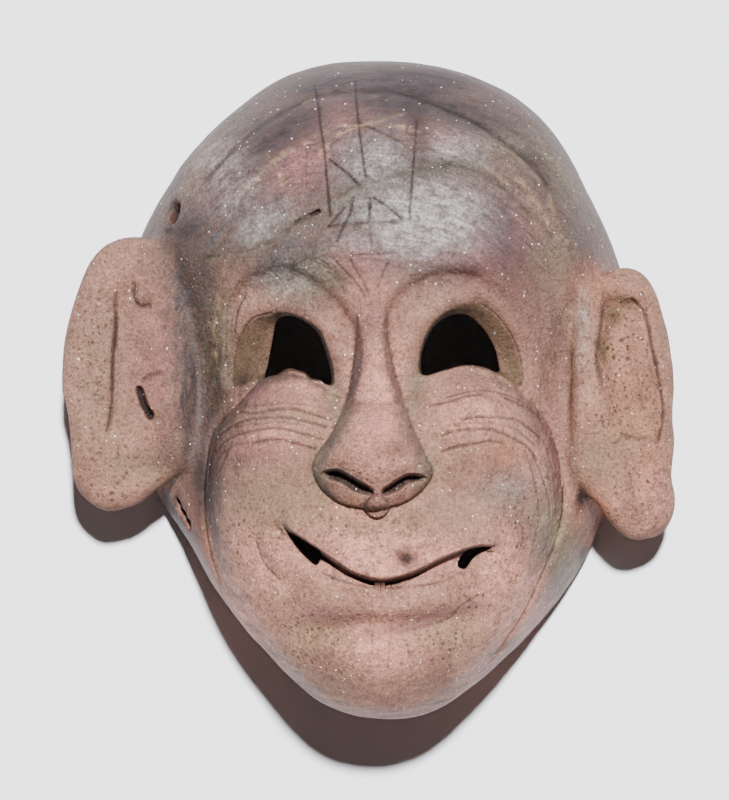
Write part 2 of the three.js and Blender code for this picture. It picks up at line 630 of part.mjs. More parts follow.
// The faces that close a level ring, all turned the same way as the ring
function levelCap(ring) {
  const flat = ring.map((point) => new THREE.Vector2(point.x, point.y));
  const turn = Math.sign(THREE.ShapeUtils.area(flat));
  return THREE.ShapeUtils.triangulateShape(flat, []).map(([a, b, c]) => (
    Math.sign(THREE.ShapeUtils.area([flat[a], flat[b], flat[c]])) === turn ? [a, b, c] : [a, c, b]
  ));
}

// A solid between rings of the same number of points
function loft(rings, cap = levelCap(rings[0])) {
  const laid = rings.flat();
  const count = rings[0].length;
  const top = (rings.length - 1) * count;
  const faces = cap.flatMap(([a, b, c]) => [[a, c, b], [a + top, b + top, c + top]]);
  for (let level = 0; level + 1 < rings.length; level += 1) {
    for (let i = 0; i < count; i += 1) {
      const next = (i + 1) % count;
      const low = level * count;
      const high = low + count;
      faces.push([low + i, low + next, high + next], [low + i, high + next, high + i]);
    }
  }
  return toSolid(laid, faces);
}

const openLoop = (points, steps) => outline(points, steps).slice(0, -1);
const raised = (loop, height) => loop.map((point) => point.clone().setZ(height(point)));

// An eye hole, wide on the outer skin and narrower on the inner one
function eyeHole(outer, inner) {
  const wide = openLoop(outer, 3);
  const narrow = openLoop(inner, 3);
  return loft([
    raised(narrow, () => EYE_CUT.bottom),
    raised(narrow, (point) => plainFront(point.x, point.y) - WALL - EYE_CUT.under),
    raised(wide, (point) => carvedFront(point.x, point.y) + EYE_CUT.over),
    raised(wide, () => HEIGHT_ABOVE),
  ]);
}

// A cut straight down from above to a depth under the front
const sunkCut = (points, depth, steps = 2) => {
  const loop = openLoop(points, steps);
  return loft([
    raised(loop, (point) => carvedFront(point.x, point.y) - depth),
    raised(loop, () => HEIGHT_ABOVE),
  ]);
};

// The dark slit of the smile, from corner to corner under the lip
function smileSlit() {
  const width = through(SLIT_WIDTH);
  const steps = 24;
  const upper = [];
  const lower = [];
  for (let i = 0; i <= steps; i += 1) {
    const x = THREE.MathUtils.lerp(LIP_CORNERS[0], LIP_CORNERS[1], i / steps);
    upper.push(new THREE.Vector3(x, lip(x), 0));
    lower.unshift(new THREE.Vector3(x, lip(x) - width(x), 0));
  }
  const loop = [...upper, ...lower];
  return loft([
    raised(loop, (point) => carvedFront(point.x, point.y) - SLIT_DEPTH),
    raised(loop, () => HEIGHT_ABOVE),
  ]);
}

// A line drawn into a surface: a V-shaped cut along a path, shallower at both ends
function drawnLine(points, surface, { half, deep }) {
  const curve = new THREE.CatmullRomCurve3(points.map(([x, y]) => new THREE.Vector3(x, y, 0)));
  const steps = Math.max(2, Math.ceil(curve.getLength() / CUT_STEP));
  const rings = [];
  for (let i = 0; i <= steps; i += 1) {
    const middle = curve.getPointAt(i / steps);
    const along = curve.getTangentAt(i / steps);
    const share = i === 0 || i === steps ? CUT_END : 1;
    const spread = half * share * (1 + CUT_LIFT / deep);
    const height = surface(middle.x, middle.y);
    rings.push([
      new THREE.Vector3(middle.x - along.y * spread, middle.y + along.x * spread, height + CUT_LIFT),
      new THREE.Vector3(middle.x, middle.y, height - deep * share),
      new THREE.Vector3(middle.x + along.y * spread, middle.y - along.x * spread, height + CUT_LIFT),
    ]);
  }
  return loft(rings, [[0, 1, 2]]);
}

// A bored slot: a flat bar with round ends, turned to run inwards through the wall
function bored({ x, y, z, long, wide, deep, heading, tilt, spin }) {
  const bar = new THREE.Shape();
  const straight = (long - wide) / 2;
  bar.absarc(straight, 0, wide / 2, -Math.PI / 2, Math.PI / 2, false);
  bar.absarc(-straight, 0, wide / 2, Math.PI / 2, (3 * Math.PI) / 2, false);
  const geometry = new THREE.ExtrudeGeometry(bar, { depth: deep, bevelEnabled: false, curveSegments: 4 });
  geometry.translate(0, 0, -deep / 2);
  geometry.rotateZ(THREE.MathUtils.degToRad(spin));
  geometry.rotateY(THREE.MathUtils.degToRad(90 + tilt));
  geometry.rotateZ(THREE.MathUtils.degToRad(heading));
  geometry.translate(x, y, z);
  geometry.deleteAttribute('normal');
  geometry.deleteAttribute('uv');
  const merged = mergeVertices(geometry, 1e-4);
  const spots = merged.getAttribute('position');
  const order = merged.getIndex();
  const laid = [];
  for (let i = 0; i < spots.count; i += 1) laid.push(new THREE.Vector3().fromBufferAttribute(spots, i));
  const faces = [];
  for (let i = 0; i < order.count; i += 3) faces.push([order.getX(i), order.getX(i + 1), order.getX(i + 2)]);
  return toSolid(laid, faces);
}

// Negative inside a slab with round edges: distance in plan, height off its mid-plane, half thickness
const slab = (plan, height, half) => {
  const radius = Math.min(EAR_HALF, half);
  const a = plan + radius;
  const b = Math.abs(height) - (half - radius);
  return Math.hypot(Math.max(a, 0), Math.max(b, 0)) + Math.min(Math.max(a, b), 0) - radius;
};

const helixLine = through(HELIX_LINE);
const rightHollow = outlineDistance(EAR_RIGHT_HOLLOW);

const planeOf = ({ level, leanX, leanY }, centre) => (x, y) => (
  level + leanX * (x - centre.x) + leanY * (y - centre.y)
);

// The helix rolls up on the outer side of its groove, and the ear dips on the inner side
function helixRelief(x, y) {
  const off = x - helixLine(y);
  const [from, full, falls, to] = HELIX.ends;
  const along = ease(from, full, y) * (1 - ease(falls, to, y));
  const inner = ease(-HELIX.step, HELIX.step, off);
  return along * (HELIX.roll * (1 - inner) * Math.exp(-Math.abs(off) / HELIX.rollWidth)
    - HELIX.dip * inner * Math.exp(-Math.abs(off) / HELIX.dipWidth));
}

const ears = [
  {
    points: EAR_LEFT,
    centre: EAR_LEFT_CENTRE,
    middle: planeOf(EAR_LEFT_PLANE, EAR_LEFT_CENTRE),
    relief: (x, y) => helixRelief(x, y) + swelling(EAR_LEFT_SWELLINGS, x, y),
  },
  {
    points: EAR_RIGHT,
    centre: EAR_RIGHT_CENTRE,
    middle: planeOf(EAR_RIGHT_PLANE, EAR_RIGHT_CENTRE),
    relief: (x, y) => EAR_BOWL.lift - pillow(rightHollow(x, y), EAR_BOWL.deep, EAR_BOWL.slope)
      + swelling(EAR_RIGHT_SWELLINGS, x, y),
  },
];
const earTop = ({ middle, relief }) => (x, y) => middle(x, y) + relief(x, y) + EAR_HALF;

function earSolid({ points, centre, middle, relief }) {
  const loop = outline(points, 4);
  const plan = outlineDistance(points);
  const edgeAt = (angle) => {
    const dx = Math.cos(angle);
    const dy = Math.sin(angle);
    let far = 0;
    for (let i = 0; i + 1 < loop.length; i += 1) {
      const ax = loop[i].x - centre.x;
      const ay = loop[i].y - centre.y;
      const ex = loop[i + 1].x - loop[i].x;
      const ey = loop[i + 1].y - loop[i].y;
      const cross = dx * ey - dy * ex;
      const share = (ax * dy - ay * dx) / cross;
      const out = (ax * ey - ay * ex) / cross;
      if (out > 0 && share >= 0 && share <= 1) far = Math.max(far, out);
    }
    return far;
  };
  const place = (corner) => {
    const off = Math.hypot(corner.x, corner.y);
    const angle = Math.atan2(corner.y, corner.x);
    const far = off < 1e-9 ? 0 : off * edgeAt(angle);
    const x = centre.x + far * Math.cos(angle);
    const y = centre.y + far * Math.sin(angle);
    const level = middle(x, y);
    const extra = relief(x, y);
    const inside = (z) => slab(plan(x, y), z - level - extra / 2, EAR_HALF + extra / 2) < 0;
    const side = Math.sign(corner.z);
    let low = 0;
    let high = side === 0 || off > 0.9999 ? 0 : EAR_SEARCH;
    for (let halving = 0; halving < 16; halving += 1) {
      const half = (low + high) / 2;
      if (inside(level + extra / 2 + side * half)) low = half;
      else high = half;
    }
    return new THREE.Vector3(x, y, level + extra / 2 + side * low);
  };
  const net = fitNet(startNet(EAR_DETAIL, false), place, EAR_FIT, () => SHORTEST_EAR);
  return toSolid(net.laid, net.faces);
}

const hollowFront = (x, y) => plainFront(x, y) + NOSE_HOLLOW * noseHeight(x, y);

const nearMouth = (point) => {
  const offLip = Math.abs(point.y - lip(point.x));
  const mouth = point.x > FINE_ZONE.left && point.x < FINE_ZONE.right && offLip < FINE_ZONE.lip;
  return mouth || nose(point.x, point.y) < FINE_ZONE.nose ? SHORTEST_FINE : SHORTEST;
};

let mask = dome(carvedFront, 0, 0, SKIN_FIT, nearMouth);
const hollow = dome(hollowFront, WALL, CLEAR, HOLLOW_FIT, () => SHORTEST);
for (const ear of ears) mask = mask.add(earSolid(ear));
mask = mask.subtract(hollow);
EYE_OUTER.forEach((outer, side) => {
  mask = mask.subtract(eyeHole(outer, EYE_INNER[side]));
});
mask = mask.subtract(smileSlit());
for (const hole of MOUTH_HOLES) mask = mask.subtract(sunkCut(hole, MOUTH_THROUGH));
for (const slit of NOSTRIL_SLITS) mask = mask.subtract(sunkCut(slit, NOSTRIL_DEPTH));
mask = mask.subtract(sunkCut(EAR_HOLE, EAR_THROUGH));
mask = mask.subtract(bored(WALL_SLOT)).subtract(bored(TEMPLE_HOLE));
for (const line of FOREHEAD_LINES) mask = mask.subtract(drawnLine(line, carvedFront, FOREHEAD_CUT));
for (const line of WRINKLES) mask = mask.subtract(drawnLine(line, carvedFront, WRINKLE_CUT));
mask = mask.subtract(drawnLine(TEETH_LINE, carvedFront, TEETH_CUT));
mask = mask.subtract(drawnLine(HELIX_CUT, earTop(ears[0]), EAR_CUT));

const { vertProperties, triVerts } = mask.getMesh();
const clay = new THREE.BufferGeometry();
clay.setAttribute('position', new THREE.BufferAttribute(vertProperties, 3));
clay.setIndex(new THREE.BufferAttribute(triVerts, 1));
clay.translate(SHIFT.x, SHIFT.y, 0);

const terracotta = new THREE.MeshStandardMaterial({ color: 0xb39383, roughness: 0.86, metalness: 0 });
const maskMesh = new THREE.Mesh(clay, terracotta);
maskMesh.name = 'mask';

const part = new THREE.Group();
part.add(maskMesh);

export default part;
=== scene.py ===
# A grinning terracotta mask, lying face up on a pale floor and looked at from straight above.
import math

import bpy
import numpy as np
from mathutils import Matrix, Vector


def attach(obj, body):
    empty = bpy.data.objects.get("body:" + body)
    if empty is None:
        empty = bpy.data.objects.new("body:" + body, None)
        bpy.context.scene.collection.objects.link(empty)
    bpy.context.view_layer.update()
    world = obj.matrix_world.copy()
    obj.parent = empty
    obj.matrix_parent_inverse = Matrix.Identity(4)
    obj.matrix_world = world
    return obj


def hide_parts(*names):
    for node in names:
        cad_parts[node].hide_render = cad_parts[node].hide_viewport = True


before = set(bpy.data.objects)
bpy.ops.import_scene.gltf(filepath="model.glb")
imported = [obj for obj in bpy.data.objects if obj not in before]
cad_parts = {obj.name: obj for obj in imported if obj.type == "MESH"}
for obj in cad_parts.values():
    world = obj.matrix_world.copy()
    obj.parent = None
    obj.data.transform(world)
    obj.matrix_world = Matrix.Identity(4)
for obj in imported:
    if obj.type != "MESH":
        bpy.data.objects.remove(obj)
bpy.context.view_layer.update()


# The pale floor that the mask lies on: matt painted board with a cool white tone. It is level with the
# rear rim of the mask and wide enough to fill every view.
FLOOR_HALF = 1.6
FLOOR_COLOR = "#F8F8FF"


def linear(hex_color):
    """An sRGB hex value as linear red, green, blue and alpha."""
    values = [int(hex_color[i:i + 2], 16) / 255 for i in (1, 3, 5)]
    return [v / 12.92 if v <= 0.04045 else ((v + 0.055) / 1.055) ** 2.4 for v in values] + [1.0]


def add(tree, kind, inputs=None, **settings):
    """A node with its settings; an input is a value or the socket that feeds it."""
    node = tree.nodes.new(kind)
    for name, value in settings.items():
        setattr(node, name, value)
    for name, value in (inputs or {}).items():
        if isinstance(value, bpy.types.NodeSocket):
            tree.links.new(value, node.inputs[name])
        else:
            node.inputs[name].default_value = value
    return node


def new_material(name):
    """An empty node material and its tree."""
    material = bpy.data.materials.new(name)
    material.use_nodes = True
    material.node_tree.nodes.clear()
    return material, material.node_tree


def finish_material(tree, shader):
    """Sends a shader to the surface."""
    add(tree, "ShaderNodeOutputMaterial", {"Surface": shader.outputs["BSDF"]})


def new_object(name, data):
    """An object with its data, put into the scene."""
    thing = bpy.data.objects.new(name, data)
    bpy.context.collection.objects.link(thing)
    return thing


floor_mesh = bpy.data.meshes.new("floor")
corners = (-1, -1), (1, -1), (1, 1), (-1, 1)
floor_mesh.from_pydata([(FLOOR_HALF * x, FLOOR_HALF * y, 0) for x, y in corners], [], [(0, 1, 2, 3)])
floor = new_object("floor", floor_mesh)
floor_paint, tree = new_material("matt painted board")
finish_material(tree, add(tree, "ShaderNodeBsdfPrincipled", {
    "Base Color": linear(FLOOR_COLOR), "Roughness": 0.9, "Specular IOR Level": 0.2,
}))
floor_mesh.materials.append(floor_paint)


# The mask: one shell of fired clay about 7 mm thick, built up by hand over a rounded core, with the nose,
# brows, lips and both ears modelled on while the clay was soft. Its lines are drawn with a point before
# firing. It lies on its level rear rim. Sizes are in mm and repeat those of the solid it stands for.
WALL = 7.2
# The axis that the side walls stand around, and how far the form is moved to sit where the solid sits
AXIS = {"x": 2, "y": -2}
SHIFT = {"x": 0.1, "y": -0.6}
# The rear rim on the floor, and the line where the walls turn into the front, with its height
RIM = [
    [-1.8, 94.3], [20, 91.3], [40, 83.8], [54, 71], [62, 58], [70.5, 41], [74.8, 26], [75.3, 6],
    [72.3, -16], [66.1, -40.4], [55.4, -60], [42.1, -72.7], [27, -83], [12, -87.5], [-2, -87], [-14, -82.5],
    [-27, -72], [-38.5, -60.5], [-51.8, -43.3], [-61.1, -30.8], [-67.7, -3.1], [-69.7, 22.9], [-66.5, 43],
    [-53.3, 63.4], [-44.3, 74.6], [-32.2, 85], [-18, 92.3],
]
BROW_LINE = [
    [-6, 84.3, 33], [17, 86.8, 33], [39, 78.4, 32], [49, 69, 33], [56, 50, 36], [58, 25, 36], [57, 0, 36],
    [55, -22, 38], [53, -38, 41], [46.5, -51, 44], [39.5, -66.5, 46], [30, -79, 47], [15, -90.5, 48],
    [2.7, -91.8, 48], [-11.4, -88.4, 48], [-20.6, -81, 47], [-28.5, -72, 46], [-36, -62.3, 45],
    [-41, -53.6, 43], [-44, -44.6, 42], [-46.5, -33, 40], [-48, -22, 36], [-51, 0, 33], [-53, 25, 33],
    [-53, 48, 33], [-49.3, 60.3, 32], [-39.4, 69, 32], [-23.6, 80.3, 32],
]
# How far the walls swell, and how round their turn into the front is, at the sides and at the crown
WALL_SWELL = 3
EDGE_ROUND = 4
CROWN_ROUND = 3
# The height of the face down its middle, and how far it has fallen 40 mm to either side, by y
MIDLINE = [
    [-110, 36], [-95, 46], [-88, 52], [-78, 57.5], [-62, 60], [-45, 59], [-30, 57], [-12, 56], [5, 56.5],
    [20, 59.5], [40, 59.5], [58, 54.5], [72, 46], [84, 34.5], [95, 20], [110, -2],
]
FALL_LEFT = [
    [-110, 30], [-90, 26], [-75, 22], [-58, 19], [-40, 18], [-20, 19], [0, 22], [20, 20], [40, 16],
    [60, 14], [80, 12], [110, 12],
]
FALL_RIGHT = [
    [-110, 30], [-90, 24], [-75, 20], [-58, 17], [-40, 15], [-20, 15], [0, 17], [20, 17], [40, 14],
    [60, 12], [80, 10], [110, 10],
]
FALL_AT = 40
FALL_POWER = 1.8
# Outlines over the plan: the muzzle, the eye sockets, the eye holes at the front and in their throats
MUZZLE = [
    [-30, 3], [-38, -3], [-43, -12], [-45.3, -23], [-45.6, -33], [-43.8, -44.6], [-41, -53.6], [-36, -62.3],
    [-28.5, -72], [-20.6, -81], [-11.4, -88.4], [2.7, -91.8], [15, -90.5], [30, -79], [39.5, -66.5],
    [46.5, -51], [50.1, -42.4], [53, -34], [53.2, -24], [51.5, -14], [47, -5], [38, 2], [25, 4], [10, -2],
    [2, -4], [-8, -2], [-20, 4],
]
ORBITS = [
    [[-7.4, -5.3], [-4.9, 0], [-3.1, 7], [-2.9, 12.2], [-4.1, 17.5], [-6.6, 21.5], [-10.8, 26.2],
     [-16.6, 30.6], [-23.6, 33.5], [-30.5, 32.4], [-35.9, 28.3], [-38.9, 22.5], [-39.9, 15], [-39.8, 5.3],
     [-38.5, -2], [-30, -6], [-18, -7]],
    [[10.5, -4.2], [6.8, 3.6], [4.6, 13.4], [5.4, 21.2], [8.8, 26.6], [14.6, 30.4], [22.5, 32.6],
     [30.3, 31], [38.1, 25.1], [42.6, 19], [45.2, 11], [45.6, 1.1], [42, -4], [32, -7], [20, -7]],
]
EYE_OUTER = [
    [[-38.3, 1], [-37.7, 8.1], [-36, 14.3], [-32.9, 19.3], [-24.5, 21.4], [-15.3, 17.5], [-11.6, 10.6],
     [-10, 1.4], [-14.7, 2.6], [-19.8, 4.8], [-28, 3.6]],
    [[14.3, 3.9], [14.1, 10], [17, 17.2], [22.3, 22.2], [29.5, 24], [36, 19.8], [40.8, 12.5], [42.9, 3.6],
     [41.5, 0.8], [34, 5.2], [26.5, 6.5], [20.5, 5]],
]
EYE_INNER = [
    [[-29.3, 2.5], [-28.4, 8], [-27.2, 14], [-25.8, 19.2], [-21.5, 20.4], [-15.3, 16.5], [-12.2, 10],
     [-10.8, 1.2], [-14.7, 3], [-18.8, 5.2], [-24, 5.2]],
    [[14.9, 4], [14.7, 9.8], [17.5, 16.5], [21.5, 20], [27, 20.6], [32, 16.7], [35.2, 11.5], [36.4, 6.5],
     [36.1, 4.6], [32, 6.2], [26.5, 6.7], [20.5, 5.2]],
]
# How far the slant of the walls is followed, in shares of their height, the y over which the crown
# begins, and what makes a distance of a height over the slanting front
WALL_RISE = [-0.2, 1.4]
CROWN_FROM = [50, 75]
FRONT_SLOPE = 0.8
# The share of its height that the nose keeps underneath, and the share that is hollow behind it
NOSE_UNDER = {"least": 0.8, "edge": [-2, 5]}
NOSE_HOLLOW = 0.36
# The outline of the nose, its height and the width of its flanks by y, and the line under the nostrils
NOSE = [
    [3.5, 27], [5.6, 12], [8.6, -1], [12.4, -12], [15.5, -18.5], [17.4, -22.8], [15.5, -27], [10.5, -31.2],
    [3.5, -33.2], [-0.5, -33.4], [-8, -31.8], [-13.2, -27.6], [-15.6, -23], [-14.6, -18.5], [-9.9, -11.5],
    [-5.8, -1], [-3.9, 12], [-2, 27],
]
NOSE_RISE = [
    [-36, 5.5], [-31, 8.5], [-26, 12], [-20, 15], [-14, 15.6], [-7, 12.6], [0, 9.2], [8, 5.6], [16, 2.6],
    [26, 0.4], [40, 0],
]
NOSE_FLANK = [[-36, 3.5], [-28, 6.5], [-23, 9], [-15, 8.2], [-5, 6.4], [8, 4.6], [20, 3.5]]
NOSTRILS = [
    [-30, -22], [-16.5, -22.4], [-12, -23], [-9, -22.7], [-5.1, -24.8], [-1.3, -27.5], [2, -28.9],
    [5.3, -27.5], [8.4, -25.1], [11.6, -23.8], [14.9, -24.2], [19, -21.5], [30, -21],
]
# Creases round the muzzle, in the cheeks and beside the nose: depth, half-width, path
CREASES = [
    (1.5, 1.3,
     [[-31.5, 1.5], [-37, -4.5], [-44, -12], [-46.3, -23], [-46.6, -33], [-44.8, -45], [-41.5, -55]]),
    (2, 1.8,
     [[43.5, -2], [50.5, -10], [55, -24], [54.8, -34], [52.4, -43], [49, -51], [42.5, -64], [33, -78]]),
    (1.2, 1.6, [[-24, -38.6], [-31, -39.4]]),
    (1.3, 1.8, [[-32, -42], [-28.5, -50], [-22.5, -54.5]]),
    (1.3, 1.7, [[35.5, -44.5], [38, -48], [39.5, -53]]),
    (0.7, 3, [[-13.5, -21], [-18, -27], [-24, -33]]),
    (0.7, 3, [[16, -21], [22, -28], [29, -35]]),
]
# Swellings of the whole shell, and below of the carved front: middle, half-widths, turn, height
SHELL_SWELLINGS = [(-26, -15, 16, 16, -20, 5.5), (33, -15, 16, 16, 20, 5.5), (3, -44, 22, 12, 0, 3.5)]
MUZZLE_SWELL = {"high": 7.5, "reach": 5}
FACE_SWELLINGS = [
    (2, 18, 60, 28, 0, 1.5), (-22, 38, 18, 6, 6, 3), (27, 38, 18, 6, -6, 3), (2, -29.5, 1.9, 3, 0, 1.6),
    (2.4, -76, 18, 9, 0, 2.5), (2.4, -58.5, 22, 5, 0, 2), (4, -65.5, 26, 3.2, 6, -2.6),
]
# The bead of clay under the nose, the sunk sockets with a groove around them, and the rims of the eyes
NOSE_BEAD = {"high": 4.5, "x": 2, "y": -32.6, "wide": 3.5, "tall": 3.3}
SOCKET = {
    "sink": 3.8, "slope": [-5, 1.5], "fade": [-6, 6], "groove": 1.9, "off": 0.5, "width": 1.7, "low": 0.3,
}
LID = {"high": 2.2, "off": 2.4, "wide": 2.8}
# The upper lip stands over the lower one along a line that runs from corner to corner
LIP_EDGE = {"high": 2.8, "low": 3, "edge": [-1.9, -0.1], "above": [1, 14], "below": [-9, -2.5]}
LIP_ENDS = {"left": [-27, -21], "right": [32, 37]}
LIP = [
    [-60, -21], [-36, -33], [-23.6, -38.7], [-13.7, -44.8], [-5.1, -50.3], [2.6, -52.6], [10.5, -51.2],
    [21.9, -46.2], [30.8, -43.7], [36, -44], [46, -45], [60, -46],
]
LIP_CORNERS = [-23.6, 34.8]
SLIT_WIDTH = [
    [-23.6, 0.5], [-20, 2.6], [-15.5, 2.6], [-11, 1.6], [2, 1.8], [14, 1.5], [24, 1.1], [34.8, 0.3],
]
# The holes in the corners of the mouth, and the slits of the nostrils
MOUTH_HOLES = [
    [[-21.8, -40], [-21.4, -42.2], [-19.9, -44.5], [-17.1, -47.3], [-14.6, -48.9], [-13.5, -45.2],
     [-16.5, -43]],
    [[24.6, -49.3], [25, -47.2], [27, -44.8], [31.5, -43.9], [34.2, -44.3], [31, -45.7], [28.7, -47.3],
     [26.6, -50]],
]
NOSTRIL_SLITS = [
    [[-12.6, -23.7], [-9, -22.7], [-5.1, -24.8], [0.2, -27.9], [0, -28.8], [-3.5, -27.9], [-7.6, -25.4]],
    [[15, -24.7], [10.8, -24], [6.7, -26.2], [4.1, -28.1], [4.2, -28.9], [7.2, -27.9], [10.8, -25.6]],
]
# Half the thickness of an ear, the outlines of both ears and of the bowl of the right one
EAR_HALF = 4.6
EAR_LEFT = [
    [-67.1, 43.2], [-73.1, 42], [-77.6, 38.6], [-81, 32.7], [-83.6, 26.1], [-85.8, 18.2], [-87.2, 10.5],
    [-87.4, 2.3], [-86.1, -5.4], [-85.1, -11.6], [-84.6, -19], [-84.1, -25], [-81.6, -30.1], [-77.9, -33.2],
    [-74.8, -34.6], [-70.8, -34.3], [-65.1, -32.3], [-60.6, -28.9], [-55, -24.5], [-50.9, -19],
    [-49.8, -8.8], [-49.8, 2.6], [-50.9, 16.8], [-54.3, 32], [-60, 41.3],
]
EAR_RIGHT = [
    [67.8, 33.3], [72.3, 34.6], [77.1, 33.3], [81, 28.6], [83.4, 21.6], [85.4, 13.9], [86.8, 3.1],
    [86.5, -7.9], [86.9, -16], [86.1, -24.4], [87.3, -30.9], [86.3, -36.5], [83.3, -40.8], [78.5, -42.5],
    [73.5, -42.2], [68.9, -38.5], [64.5, -32.5], [60, -28], [57.5, -20], [57, -3.1], [58.1, 16.8],
    [62.1, 28.1],
]
EAR_RIGHT_HOLLOW = [
    [66.6, 25.3], [71.1, 26.4], [76.2, 24.4], [78.2, 13.9], [81, 4.8], [83, -1.7], [83.3, -9.6],
    [82.2, -15.6], [77.6, -13.9], [71.1, -11.9], [68, -10.2], [65.7, 0], [64.6, 8.3], [65.2, 16.8],
]
# The line of the rolled edge of the left ear, with the roll on one side of it and the dip on the other
HELIX_LINE = [[-12, -74.2], [-6.5, -73.5], [-3, -72.8], [7.4, -72.7], [15, -72], [30, -71.8]]
HELIX = {"roll": 1.6, "rollWidth": 9, "dip": 1.2, "dipWidth": 7, "step": 2.5, "ends": [-20, -8, 24, 36]}
# How high each ear stands at its centre and which way it leans, its swellings and its bowl
EAR_LEFT_PLANE = {"level": 24.5, "leanX": 0.04, "leanY": -0.03}
EAR_RIGHT_PLANE = {"level": 25.5, "leanX": -0.38, "leanY": -0.02}
EAR_LEFT_SWELLINGS = [
    (-62, 30, 4.6, 6, 0, 1.6), (-57.5, -4.5, 6.5, 9, 0, 2.6), (-65.5, 6, 5, 12, 0, -1.6),
    (-72, -24, 12, 9, 0, 1.5),
]
EAR_RIGHT_SWELLINGS = [(77, -31, 9, 8, 0, 1.8), (64, -6, 5, 14, 0, 1.2)]
EAR_BOWL = {"deep": 5, "slope": 2.2, "lift": 1}
EAR_LEFT_CENTRE = {"x": -68, "y": 4}
EAR_RIGHT_CENTRE = {"x": 70, "y": -4}
# The slit in the left ear, and the slot and the hole bored through the left wall, turned in degrees
EAR_HOLE = [[-65.8, -0.2], [-64.6, -0.4], [-63.2, -4.5], [-61.4, -7.4], [-62.4, -8.4], [-64.3, -5]]
WALL_SLOT = {
    "x": -52, "y": -34.8, "z": 21, "long": 10.5, "wide": 3.2, "deep": 24, "heading": 30, "tilt": 30,
    "spin": 66,
}
TEMPLE_HOLE = {
    "x": -55.6, "y": 50.4, "z": 27, "long": 6.2, "wide": 4.4, "deep": 26, "heading": -40, "tilt": 50,
    "spin": 75,
}

# Grids over the plan, which hold distances and heights
PLAN_PITCH = 0.3
PLAN_X = np.arange(-93, 93, PLAN_PITCH)
PLAN_Y = np.arange(-99, 99, PLAN_PITCH)
GRID_X, GRID_Y = np.meshgrid(PLAN_X, PLAN_Y, indexing="ij")


def ease(start, end, value):
    """From 0 at the start to 1 at the end, smoothly."""
    t = np.clip((value - start) / (end - start), 0, 1)
    return t * t * (3 - 2 * t)


def swelling(hills, x, y):
    """How far soft swellings lift a place."""
    total = np.zeros(np.shape(x))
    for middle_x, middle_y, wide, tall, turn, high in hills:
        c, s = math.cos(math.radians(turn)), math.sin(math.radians(turn))
        u = ((x - middle_x) * c + (y - middle_y) * s) / wide
        v = ((y - middle_y) * c - (x - middle_x) * s) / tall
        total += high * np.exp(-u * u - v * v)
    return total


def rounded_max(a, b, radius):
    """The larger of two values, rounded over where they meet."""
    h = np.clip(0.5 + 0.5 * (a - b) / radius, 0, 1)
    return b + (a - b) * h + radius * h * (1 - h)


def rounded_min(a, b, radius):
    return -rounded_max(-a, -b, radius)


def through(stations, x):
    """A smooth curve through a few stations."""
    place, value = np.array(stations, float).T
    span = np.diff(place)
    rise = np.diff(value) / span
    inner = (rise[1:] * span[:-1] + rise[:-1] * span[1:]) / (place[2:] - place[:-2])
    tilt = np.concatenate([rise[:1], inner, rise[-1:]])
    x = np.clip(x, place[0], place[-1])
    i = np.clip(np.searchsorted(place, x, side="right") - 1, 0, len(place) - 2)
    t = (x - place[i]) / span[i]
    rest = 1 - t
    return ((1 + 2 * t) * rest * rest * value[i] + t * rest * rest * span[i] * tilt[i]
            + t * t * (3 - 2 * t) * value[i + 1] - t * t * rest * span[i] * tilt[i + 1])


def curve(points, closed, steps=4):
    """A smooth line through a few points: Catmull-Rom, with a few steps a span."""
    p = np.array(points, float)
    p = np.vstack([p[-1:], p, p[:2]]) if closed else np.vstack([2 * p[0] - p[1], p, 2 * p[-1] - p[-2]])
    t = (np.arange(steps) / steps)[None, :, None]
    a, b, c, d = (p[k:len(p) - 3 + k, None, :] for k in range(4))
    line = 0.5 * (2 * b + (c - a) * t + (2 * a - 5 * b + 4 * c - d) * t ** 2
                  + (3 * b - a - 3 * c + d) * t ** 3)
    return np.vstack([line.reshape(-1, 2), p[1:2] if closed else p[-2:-1]])


def plan_distance(points, reach, closed=True, steps=4):
    """Distance over the plan from a line, or from an outline, negative inside it; reach beyond its window."""
    line = curve(points, closed, steps)
    low, high = line.min(0) - reach, line.max(0) + reach
    columns = slice(*np.searchsorted(PLAN_X, [low[0], high[0]]))
    rows = slice(*np.searchsorted(PLAN_Y, [low[1], high[1]]))
    x, y = GRID_X[columns, rows], GRID_Y[columns, rows]
    nearest = np.full(x.shape, 1e9)
    within = np.zeros(x.shape, bool)
    for (ax, ay), (bx, by) in zip(line[:-1], line[1:]):
        ex, ey = bx - ax, by - ay
        along = np.clip(((x - ax) * ex + (y - ay) * ey) / (ex * ex + ey * ey + 1e-12), 0, 1)
        nearest = np.minimum(nearest, (x - ax - along * ex) ** 2 + (y - ay - along * ey) ** 2)
        if closed and ay != by:
            within ^= ((ay > y) != (by > y)) & (x < ax + ex * (y - ay) / (by - ay))
    plan = np.full(GRID_X.shape, float(reach))
    plan[columns, rows] = np.minimum(np.where(within, -1, 1) * np.sqrt(nearest), reach)
    return plan


def at(plan, x, y):
    """A plan grid's value at any place, between its samples."""
    u = np.clip((x - PLAN_X[0]) / PLAN_PITCH, 0, len(PLAN_X) - 1.001)
    v = np.clip((y - PLAN_Y[0]) / PLAN_PITCH, 0, len(PLAN_Y) - 1.001)
    i, j = u.astype(int), v.astype(int)
    u, v = u - i, v - j
    return ((plan[i, j] * (1 - u) + plan[i + 1, j] * u) * (1 - v)
            + (plan[i, j + 1] * (1 - u) + plan[i + 1, j + 1] * u) * v)


# The lattice behind all unevenness, and a shift that keeps the places in it above zero
LATTICE = 32
FAR_OFF = 500


